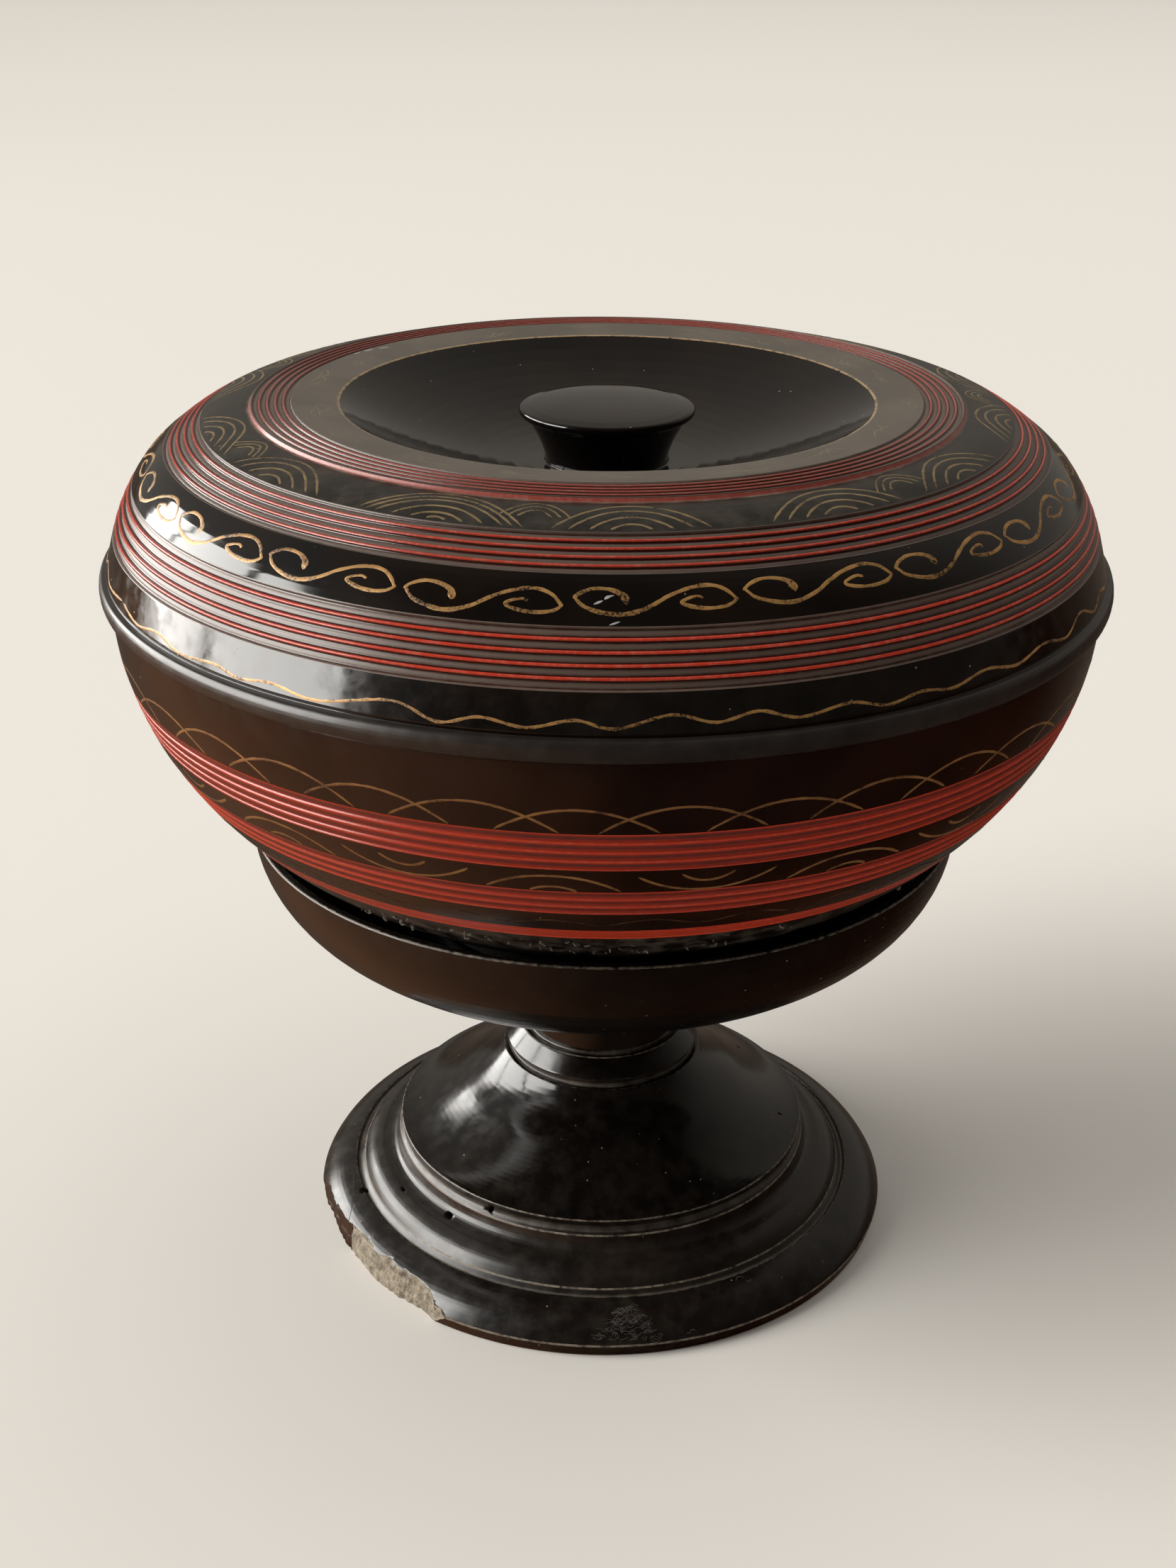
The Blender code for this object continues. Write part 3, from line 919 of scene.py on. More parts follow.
@dataclass
class Lid:
    """The domed lid: a sunk well with the knob, three reeded bands, and painted bands between them."""

    edge_radius: float = 118.6 * MM
    lip_bulge: float = 1.4 * MM
    lip_height: float = 4.9 * MM
    cove: Point = (118.2 * MM, 5.7 * MM)
    wave_top: Point = (116.0 * MM, 13.7 * MM)
    scroll_low: Point = (110.7 * MM, 25.1 * MM)
    scroll_top: Point = (103.2 * MM, 33.0 * MM)
    fan_low: Point = (94.4 * MM, 38.6 * MM)
    fan_top: Point = (83.2 * MM, 41.1 * MM)
    ledge_low: Point = (82.6 * MM, 42.1 * MM)
    ledge_top: Point = (73.3 * MM, 42.4 * MM)
    well_rim: Point = (62.6 * MM, 41.6 * MM)
    well_depth: float = 15.4 * MM
    wall: float = 5.2 * MM
    well_floor: float = 7.2 * MM
    seat_height: float = 5.8 * MM
    groove_depth: float = 0.7 * MM
    grooves: int = 5
    low_bow: float = 0.5 * MM
    scroll_bow: float = 0.5 * MM
    middle_bow: float = 0.3 * MM
    fan_bow: float = 0.6 * MM
    knob_radius: float = 20.7 * MM
    knob_base: float = 14.4 * MM
    knob_neck: float = 11.5 * MM
    knob_edge: float = 1.7 * MM
    knob_dome: float = 1.1 * MM

    SLOT = "lid_lacquer"
    CROWN_RUNS = 9
    NECK_RUNS = 9
    WELL_RUNS = 12
    INNER_WELL_RUNS = 6
    BAND_RUNS = 6
    LIP_RUNS = 8
    EDGE_DIRT = 0.9

    # One scroll, in millimetres from its middle: curl with its blob, body, and curl with its hook.
    # Each point is along, up and the stroke's width.
    CURL = ((-6.6, -0.35, 1.5), (-6.2, 0.1, 1.9), (-6.5, 1.1, 1.3), (-8.8, 2.3, 0.85), (-12.2, 2.6, 0.8))
    STEM = ((-16.3, 0.75, 0.6), (-14.1, -1.45, 0.8), (-9.8, -2.8, 0.95), (-6.0, -2.95, 0.95))
    CREST = ((6.5, 2.35, 0.85), (10.7, 2.9, 0.85), (14.0, 1.8, 0.8))
    HOOK = ((16.5, -0.35, 0.6), (14.4, -1.7, 0.75), (10.7, -2.15, 0.8), (7.0, -1.65, 0.8), (5.0, -0.75, 0.75))
    SCROLL = (
        (*CURL, (-14.9, 1.65, 0.8), (-16.5, 0.35, 0.7)),
        (*STEM, (-1.8, -1.65, 0.85), (2.4, 0.75, 0.8), *CREST, (16.4, -0.8, 0.65)),
        (*HOOK, (6.1, 0.05, 0.65), (8.2, 0.55, 0.6), (9.5, 0.1, 0.65)),
    )
    SCROLLS = 20
    FIRST_SCROLL = 5.2

    # How far up from the band's middle the scrolls at the front sit, by their number from the first
    SCROLL_LIFTS = {-3: -0.2, -2: 0.0, -1: -0.9, 0: -0.2, 1: 0.6, 2: 0.6}

    # The wave line's turning points at the front: azimuth, and millimetres down the band
    WAVE = (
        *((-64.2, 6.0), (-58.7, 7.6), (-53.6, 6.2), (-48.5, 7.7), (-42.8, 6.6), (-39.0, 7.6), (-34.4, 6.5)),
        *((-28.9, 7.6), (-20.7, 4.7), (-15.9, 7.6), (-11.8, 5.8), (-7.3, 7.2), (-2.8, 5.4), (1.0, 7.0)),
        *((6.3, 4.4), (10.6, 6.3), (14.7, 4.7), (18.8, 6.8), (24.1, 5.4), (28.2, 7.2), (32.4, 6.1)),
        *((36.4, 7.1), (41.2, 5.6)),
    )
    WAVE_WIDTH = 0.72
    WAVE_END = 291.0

    # Fans: each arc's half span and rise, in millimetres, and how far down the band their feet are
    WIDE_FAN = ((17.0, 9.6), (15.2, 8.1), (13.2, 6.6), (9.4, 4.3), (5.4, 2.0), (1.9, 0.6))
    FAN = ((15.0, 8.7), (11.8, 6.5), (7.9, 4.0), (3.9, 1.6))
    SMALL_FAN = ((7.2, 5.6), (5.3, 4.2), (3.4, 2.6))
    FAN_GROUPS = 7
    WIDE_GROUPS = (0, 3)
    FIRST_GROUP = -9.0
    FAN_SPREAD = 11.6
    FAN_FOOT = 10.7
    SMALL_FAN_FOOT = 7.4
    WISPS = 18

    # Pale scuffs as azimuth, millimetres down the band and width: inside a scroll, and at the ring's edge
    SCROLL_SCUFFS = (
        ((-1.2, 6.5, 0.15), (-0.7, 6.1, 0.5), (-0.2, 5.7, 0.2)),
        ((-0.1, 5.5, 0.2), (0.15, 5.1, 0.7), (0.5, 4.8, 0.4), (0.9, 4.6, 0.15)),
        ((0.4, 10.6, 0.1), (0.9, 10.3, 0.4), (1.5, 9.9, 0.15)),
    )
    RING_CHIPS = (
        ((-129.0, 8.6, 0.2), (-127.6, 8.9, 0.7), (-126.6, 9.4, 0.2)),
        ((-125.4, 9.8, 0.2), (-124.0, 10.0, 0.8), (-122.8, 10.2, 0.3)),
        ((-121.8, 10.2, 0.2), (-120.6, 10.3, 0.5), (-119.8, 10.4, 0.2)),
    )

    def __post_init__(self) -> None:
        """Finds the height that the lid stands at, and the bands that are painted."""
        self.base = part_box("lid")[0].z
        self.ring_ground = Ground(self.at(self.well_rim), self.at(self.ledge_top))
        self.fan_ground = Ground(self.at(self.fan_top), self.at(self.fan_low), self.fan_bow)
        self.scroll_ground = Ground(self.at(self.scroll_top), self.at(self.scroll_low), self.scroll_bow)
        self.wave_ground = Ground(self.at(self.wave_top), self.at(self.cove))

    def at(self, point: Point) -> Point:
        """A point of the lid, from its lower edge, as radius and height."""
        return (point[0], self.base + point[1])

    def build(self) -> None:
        """Builds the lid and its painting."""
        self.body()
        self.scrolls()
        self.wave_line()
        self.fans()
        self.wisps()
        self.scuffs()

    def well(self, step: int, steps: int) -> Point:
        """A point of the well's floor, which rises as a square from the knob to the rim."""
        share = step / steps
        radius = self.knob_base + (self.well_rim[0] - self.knob_base) * share
        return (radius, self.base + self.well_rim[1] - self.well_depth * (1.0 - share**2))

    def body(self) -> None:
        """Turns the lid, from the knob's crown to the lip and back under."""
        section = Section()
        disc = self.base + self.well_rim[1] - self.well_depth + self.knob_neck
        rim = disc + self.knob_edge
        section.start((0.0, rim + self.knob_dome))
        for step in range(1, self.CROWN_RUNS):
            share = step / self.CROWN_RUNS
            radius = (self.knob_radius - 0.9 * MM) * share
            section.to((radius, rim + self.knob_dome * (1.0 - share**2.4)), MIRROR_BLACK)
        section.to((self.knob_radius, rim - 0.25 * MM), MIRROR_BLACK, soft=0.8)
        section.to((self.knob_radius, disc), MIRROR_BLACK, soft=0.6, wear=0.25)
        for step in range(1, self.NECK_RUNS + 1):
            share = step / self.NECK_RUNS
            radius = self.knob_base + (self.knob_radius - 1.2 * MM - self.knob_base) * (1.0 - share) ** 1.6
            last = step == self.NECK_RUNS
            height = disc - self.knob_neck * share
            section.to((radius, height), MIRROR_BLACK, soft=1.2 * last, dust=0.25 * last)
        section.through((self.well(step, self.WELL_RUNS) for step in range(1, self.WELL_RUNS)), MIRROR_BLACK)
        # The well's rim is rubbed all round, which also paints a highlight line along it
        section.to(self.at(self.well_rim), MIRROR_BLACK, soft=0.5, wear=1.0)
        section.to(self.at(self.ledge_top), RING_SATIN, soft=0.15)
        depth = self.groove_depth
        section.reeds(self.at(self.ledge_low), self.grooves, depth * 0.75, 0.0, REED_A, self.EDGE_DIRT)
        section.to(self.at(self.fan_top), REED_A, soft=0.3, dust=0.5)
        self._band(section, self.fan_ground, SATIN_BLACK)
        section.reeds(self.at(self.scroll_top), self.grooves, depth, self.middle_bow, REED_B, self.EDGE_DIRT)
        self._band(section, self.scroll_ground, MIRROR_BLACK)
        section.reeds(self.at(self.wave_top), self.grooves, depth * 1.1, self.low_bow, REED_C, self.EDGE_DIRT)
        section.to(self.at(self.cove), WAVE_BLACK, soft=0.3, wear=0.3)
        section.to(self.at((self.edge_radius - 0.7 * MM, self.lip_height + 0.1 * MM)), MIRROR_BLACK, soft=0.4)
        self._lip(section)
        seat = self.edge_radius - self.wall
        section.to((seat, self.base), MIRROR_BLACK, soft=0.3)
        section.to((seat, self.base + self.seat_height), BOWL_INSIDE, soft=0.5)
        self._underside(section)
        ridden(section.turned("lid_with_knob"), self.SLOT, "lid")

    def _band(self, section: Section, ground: Ground, finish: Finish) -> None:
        """Draws a smooth band down the outside.

        Args:
            section: The section that it goes on.
            ground: The band.
            finish: What it is finished with.
        """
        section.through(ground.inner_points(self.BAND_RUNS), finish)
        section.to(ground.lower, finish, soft=0.25, wear=0.35)

    def _lip(self, section: Section) -> None:
        """Draws the rounded lip down to the lid's crisp lower edge.

        Args:
            section: The section that it goes on.
        """
        for step in range(1, self.LIP_RUNS + 1):
            turn = math.pi * step / self.LIP_RUNS
            last = step == self.LIP_RUNS
            bulge = 0.0 if last else self.lip_bulge * math.sin(turn) ** 0.8
            point = (self.edge_radius + bulge, self.lip_height * (0.5 + 0.5 * math.cos(turn)))
            section.to(self.at(point), LIP_SATIN, soft=0.3 * last, wear=0.7 * last)

    def _underside(self, section: Section) -> None:
        """Draws the inside of the lid, a wall's thickness under the outside.

        Args:
            section: The section that it goes on.
        """
        bands = [self.cove, self.wave_top, self.scroll_low, self.scroll_top, self.fan_low, self.fan_top]
        outside = [*bands, self.ledge_top]
        for before, point, after in zip(outside, outside[1:], outside[2:]):
            run = Vector(after) - Vector(before)
            inward = Vector((-run.y, run.x)).normalized() * self.wall
            section.to(self.at((point[0] + inward.x, point[1] + inward.y)), BOWL_INSIDE, soft=2.0)
        under_rim = (self.well_rim[0] + self.wall, self.well_rim[1] - self.wall)
        section.to(self.at(under_rim), BOWL_INSIDE, soft=2.0)
        for step in range(self.INNER_WELL_RUNS - 1, 0, -1):
            radius, height = self.well(step, self.INNER_WELL_RUNS)
            section.to((radius, height - self.well_floor), BOWL_INSIDE)
        section.to(self.at((0.0, self.well_rim[1] - self.well_depth - self.well_floor)), BOWL_INSIDE)

    def scrolls(self) -> None:
        """Paints the running scrolls on the glossy band between the lower two reeded bands."""
        ground = self.scroll_ground
        brush = Brush("gold_scrolls", SCROLL_GOLD, thickness=0.06 * MM, seed=3)
        hand = Random(11)
        for number in range(-self.SCROLLS // 2 + 2, self.SCROLLS // 2 + 2):
            middle = self.FIRST_SCROLL + 360.0 / self.SCROLLS * number
            half = ground.width / 2.0 / MM - self.SCROLL_LIFTS.get(number, hand.uniform(-0.4, 0.4))
            tall = hand.uniform(0.93, 1.03)
            long = hand.uniform(0.965, 1.0) * MM
            for line in self.SCROLL:
                knots = [
                    (middle + ground.degrees(along * long), half - up * tall, width)
                    for along, up, width in line
                ]
                brush.stroke(ground, smooth_path(knots, 6))
        brush.ride(self.SLOT)

    def wave_line(self) -> None:
        """Paints the loose wave line on the band over the lip."""
        hand = Random(5)
        knots = list(self.WAVE)
        while knots[-1][0] < self.WAVE_END:
            down = hand.uniform(4.6, 5.9) if len(knots) % 2 == 0 else hand.uniform(6.6, 7.5)
            knots.append((knots[-1][0] + hand.uniform(3.9, 5.3), down))
        knots[-1] = (self.WAVE[0][0] + 360.0, self.WAVE[0][1])
        brush = Brush("gold_wave_line", SCROLL_GOLD, seed=7)
        brush.stroke(self.wave_ground, smooth_path([(*knot, self.WAVE_WIDTH) for knot in knots], 6))
        brush.ride(self.SLOT)

    def fans(self) -> None:
        """Paints the groups of wave fans round the upper satin band."""
        brush = Brush("gold_fans", FAN_GOLD, thickness=0.04 * MM, seed=9)
        hand = Random(23)
        for group in range(self.FAN_GROUPS):
            middle = self.FIRST_GROUP + 360.0 / self.FAN_GROUPS * group
            spread = self.FAN_SPREAD + hand.uniform(-0.6, 0.6)
            first = self.WIDE_FAN if group in self.WIDE_GROUPS else self.FAN
            for arcs, place in ((first, middle - spread), (self.FAN, middle + spread)):
                for half, rise in arcs:
                    brush.arch(self.fan_ground, place, self.FAN_FOOT, half, rise, 0.62)
            for half, rise in self.SMALL_FAN:
                brush.arch(self.fan_ground, middle, self.SMALL_FAN_FOOT, half, rise, 0.5)
        brush.ride(self.SLOT)

    def wisps(self) -> None:
        """Paints the faint, nearly rubbed away wisps on the flat ring round the well."""
        brush = Brush("faint_ring_wisps", WISP_GOLD, thickness=0.02 * MM, seed=29)
        hand = Random(41)
        for number in range(self.WISPS):
            middle = 360.0 / self.WISPS * number + hand.uniform(-4.0, 4.0)
            foot = hand.uniform(5.5, 8.5)
            for line in range(3):
                half = hand.uniform(2.6, 5.4)
                rise = hand.uniform(-2.6, 3.6)
                place = middle + self.ring_ground.degrees(line * 2.6 * MM)
                brush.arch(self.ring_ground, place, foot, half, rise, 0.4, 1.6)
        brush.ride(self.SLOT)

    def scuffs(self) -> None:
        """Draws the pale scuffs inside a scroll at the front and the chips at the flat ring's edge."""
        brush = Brush("lid_scuffs", SCUFF_PALE, thickness=0.08 * MM, seed=47)
        for ground, marks in ((self.scroll_ground, self.SCROLL_SCUFFS), (self.ring_ground, self.RING_CHIPS)):
            for mark in marks:
                brush.stroke(ground, smooth_path(mark, 4))
        brush.ride(self.SLOT)


@dataclass
class Bowl:
    """The deep bowl with its red bands, between dark ones with shallow gold arches."""

    radius: float = 117.6 * MM
    curve: float = 87.0 * MM
    foot_radius: float = 46.0 * MM
    foot_height: float = 8.2 * MM
    foot_width: float = 6.0 * MM
    recess: float = 3.0 * MM
    wall: float = 5.0 * MM
    floor: float = 6.5 * MM
    ring_height: float = 5.5 * MM
    ring_outer: float = 112.8 * MM
    ring_thickness: float = 3.2 * MM
    groove_depth: float = 0.35 * MM
    shoulder_drop: float = 88.3 * MM

    # Depths below the shoulder where one band ends and the next starts
    bands: tuple[float, ...] = (16.4 * MM, 26.0 * MM, 32.5 * MM, 40.0 * MM, 46.6 * MM, 50.3 * MM)

    SLOT = "bowl_lacquer"
    INSIDE_RUNS = 16
    OUTSIDE_RUN = 1.5 * MM
    ARCHES = 34
    FIRST_ARCH = -2.6
    PAIRS = 11
    FIRST_PAIR = -5.3
    LOW_WAVES = 60
    CRUMBS = 90
    CRUMB_REACH = 9.0 * MM

    def __post_init__(self) -> None:
        """Finds the heights that the bowl stands at."""
        self.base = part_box("bowl")[0].z
        self.shoulder = self.base + self.shoulder_drop

    def outside(self, drop: float) -> Point:
        """The point of the outside at a depth below the shoulder."""
        return (self.radius * math.sqrt(1.0 - (drop / self.curve) ** 2), self.shoulder - drop)

    def ground(self, upper: float, lower: float) -> Ground:
        """Gives the band between two depths below the shoulder.

        Args:
            upper: Its upper edge's depth.
            lower: Its lower edge's depth.

        Returns:
            The band, bulging as the bowl does.
        """
        first, last = Vector(self.outside(upper)), Vector(self.outside(lower))
        middle = Vector(self.outside((upper + lower) / 2.0))
        return Ground(tuple(first), tuple(last), (middle - (first + last) / 2.0).length)

    def build(self) -> None:
        """Builds the bowl and its painting."""
        self.body()
        self.arches()
        self.paired_arches()
        self.low_wave()
        self.crumbs()

    def body(self) -> None:
        """Turns the bowl, from its floor up the inside and down the outside."""
        section = Section()
        floor = self.base + self.recess + self.floor
        inner = self.ring_outer - self.ring_thickness
        inner_curve = self.curve - self.wall
        lowest = math.asin((self.shoulder - floor) / inner_curve)
        section.start((0.0, floor))
        inside = ellipse((0.0, self.shoulder), inner, inner_curve, (lowest, 0.0), self.INSIDE_RUNS)
        section.through(inside, BOWL_INSIDE)
        top = self.shoulder + self.ring_height
        section.to((inner, top), BOWL_INSIDE, soft=0.6)
        section.to((self.ring_outer, top), BOWL_INSIDE, soft=0.6, wear=0.4)
        section.to((self.ring_outer, self.shoulder), BOWL_INSIDE, soft=0.3)
        section.to((self.radius, self.shoulder), BOWL_BROWN, soft=0.5, wear=0.3)
        first, second, third, fourth, fifth, sixth = self.bands
        self._plain(section, 0.0, first, BOWL_BROWN)
        section.reeds(self.outside(second), 4, self.groove_depth, 0.18 * MM, BOWL_RED)
        self._plain(section, second, third, BOWL_BROWN)
        section.reeds(self.outside(fourth), 3, self.groove_depth, 0.12 * MM, BOWL_RED)
        self._plain(section, fourth, fifth, BOWL_BROWN)
        section.reeds(self.outside(sixth), 1, self.groove_depth * 0.4, 0.03 * MM, BOWL_RED)
        self._plain(section, sixth, self.shoulder_drop - self.foot_height, BOWL_UNDER)
        section.to((self.foot_radius, self.base), BOWL_UNDER, soft=0.6)
        section.to((self.foot_radius - self.foot_width, self.base), BOWL_UNDER, soft=0.6)
        section.to((self.foot_radius - self.foot_width, self.base + self.recess), BOWL_UNDER, soft=0.6)
        section.to((0.0, self.base + self.recess), BOWL_UNDER)
        ridden(section.turned("bowl_body"), self.SLOT, "bowl")

    def _plain(self, section: Section, upper: float, lower: float, finish: Finish) -> None:
        """Draws the smooth outside between two depths.

        Args:
            section: The section that it goes on.
            upper: The depth where it starts.
            lower: The depth where it ends.
            finish: What it is finished with.
        """
        steps = max(3, round((lower - upper) / self.OUTSIDE_RUN))
        drops = [upper + (lower - upper) * step / steps for step in range(1, steps + 1)]
        section.through([self.outside(drop) for drop in drops], finish)

    def arches(self) -> None:
        """Paints the interlaced arches along the foot of the uppermost dark band."""
        ground = self.ground(0.0, self.bands[0])
        brush = Brush("gold_arches", BOWL_GOLD, seed=13)
        hand = Random(31)
        for number in range(self.ARCHES):
            middle = self.FIRST_ARCH + 360.0 / self.ARCHES * number
            half = 17.5 + hand.uniform(-0.6, 0.6)
            rise = 6.1 + hand.uniform(-0.4, 0.5)
            brush.arch(ground, middle, ground.width / MM - 0.15, half, rise, 0.62, 2.0)
        brush.ride(self.SLOT)

    def paired_arches(self) -> None:
        """Paints the paired arches of the middle dark band, by turns standing and hanging."""
        ground = self.ground(self.bands[1], self.bands[2])
        brush = Brush("faint_paired_arches", BOWL_GOLD, thickness=0.04 * MM, seed=17)
        low = ground.width / MM - 0.2
        pairs = (((low, 14.2, 5.0), (low, 4.9, 1.5)), ((1.9, 14.4, -5.0), (1.6, 5.4, -2.3)))
        for number in range(self.PAIRS * 2):
            middle = self.FIRST_PAIR + 180.0 / self.PAIRS * number
            for foot, half, rise in pairs[number % 2]:
                brush.arch(ground, middle, foot, half, rise, 0.7, 2.2)
        brush.ride(self.SLOT)

    def low_wave(self) -> None:
        """Paints the faint wave line of the lowest dark band."""
        ground = self.ground(self.bands[3], self.bands[4])
        brush = Brush("faint_low_wave", FAINT_GOLD, thickness=0.03 * MM, seed=37)
        hand = Random(53)
        wide = ground.width / MM
        knots = [
            (360.0 * number / self.LOW_WAVES, (0.5 + hand.uniform(0.08, 0.2) * (-1) ** number) * wide, 0.5)
            for number in range(self.LOW_WAVES)
        ]
        knots.append((360.0, *knots[0][1:]))
        brush.stroke(ground, smooth_path(knots, 6))
        brush.ride(self.SLOT)

    def crumbs(self) -> None:
        """Sticks old crumbs of dirt to the sooty underside, over the dish's rim."""
        ground = self.ground(self.bands[5], self.bands[5] + self.CRUMB_REACH)
        mesh = bmesh.new()
        hand = Random(61)
        for _ in range(self.CRUMBS):
            azimuth = hand.choice((hand.uniform(-40.0, 30.0), hand.uniform(0.0, 360.0)))
            long = hand.uniform(0.5, 1.9) * MM
            wide = long * hand.uniform(0.4, 0.9)
            shape = Matrix.Diagonal((long, wide, long * hand.uniform(0.25, 0.45), 1.0))
            turn = Matrix.Rotation(math.radians(azimuth), 4, "Z")
            turn = turn @ Matrix.Rotation(hand.uniform(0.0, 3.0), 4, "Y")
            place = Matrix.Translation(ground.place(azimuth, hand.uniform(0.15, 0.95) * ground.width, 0.0))
            crumb = bmesh.ops.create_icosphere(mesh, subdivisions=1, radius=0.5)
            for corner in crumb["verts"]:
                corner.co *= hand.uniform(0.7, 1.2)
            bmesh.ops.transform(mesh, matrix=place @ turn @ shape, verts=crumb["verts"])
        ridden(finished("old_crumbs", mesh, [OLD_CRUMB]), self.SLOT)


@dataclass
class StandDish:
    """The stand's dish with its stem and collar, in one turning."""

    rim_radius: float = 88.4 * MM
    rim_width: float = 2.2 * MM
    flat: float = 47.0 * MM
    depth: float = 33.5 * MM
    floor: float = 6.5 * MM
    stem_radius: float = 19.6 * MM
    cove: float = 13.0 * MM
    collar_ledge: float = 1.9 * MM
    collar_spread: float = 3.8 * MM
    collar_height: float = 4.6 * MM
    spigot_radius: float = 13.0 * MM
    spigot_length: float = 14.0 * MM

    INSIDE_RUNS = 14
    OUTSIDE_RUNS = 20
    COVE_RUNS = 10

    def build(self) -> None:
        """Turns the dish, from its floor over the rim and down the stem."""
        low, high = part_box("stand_dish")
        top = high.z
        base = low.z + self.spigot_length
        quarter = math.pi / 2.0
        section = Section()
        section.start((0.0, top - self.depth + self.floor))
        across = self.rim_radius - self.flat
        inside = (across - self.rim_width, self.depth - self.floor)
        *inner, edge = ellipse((self.flat, top), *inside, (quarter, 0.0), self.INSIDE_RUNS)
        section.through(inner, DISH_SATIN)
        section.to(edge, DISH_SATIN, soft=0.7, wear=0.6)
        section.to((self.rim_radius, top), DISH_SATIN, soft=0.7, wear=0.7)
        outer = ellipse((self.flat, top), across, self.depth, (0.0, quarter), self.OUTSIDE_RUNS)
        section.through(outer[1:], DISH_SATIN)
        corner = (self.stem_radius + self.cove, top - self.depth - self.cove)
        cove = ellipse(corner, self.cove, -self.cove, (quarter, math.pi), self.COVE_RUNS)
        section.through(cove, STAND_BLACK)
        collar_top = base + self.collar_height
        section.to((self.stem_radius, collar_top), STAND_BLACK, soft=0.4, dust=0.6)
        ledge = self.stem_radius + self.collar_ledge
        section.to((ledge, collar_top), STAND_BLACK, soft=0.35, wear=0.9)
        section.to((ledge + self.collar_spread, base), STAND_BLACK, soft=0.35, wear=0.5)
        section.to((self.spigot_radius, base), STAND_BLACK)
        section.to((self.spigot_radius, low.z), SPLIT_WOOD, soft=0.5)
        section.to((0.0, low.z), SPLIT_WOOD)
        ridden(section.turned("stand_dish_with_stem"), "stand_lacquer", "stand_dish")


@dataclass(frozen=True)
class WormHole:
    """A beetle's exit hole: where it opens, how wide it is each way, and how its bore leans."""

    azimuth: float
    radius: float
    height: float
    size: Point
    lean: float = 20.0


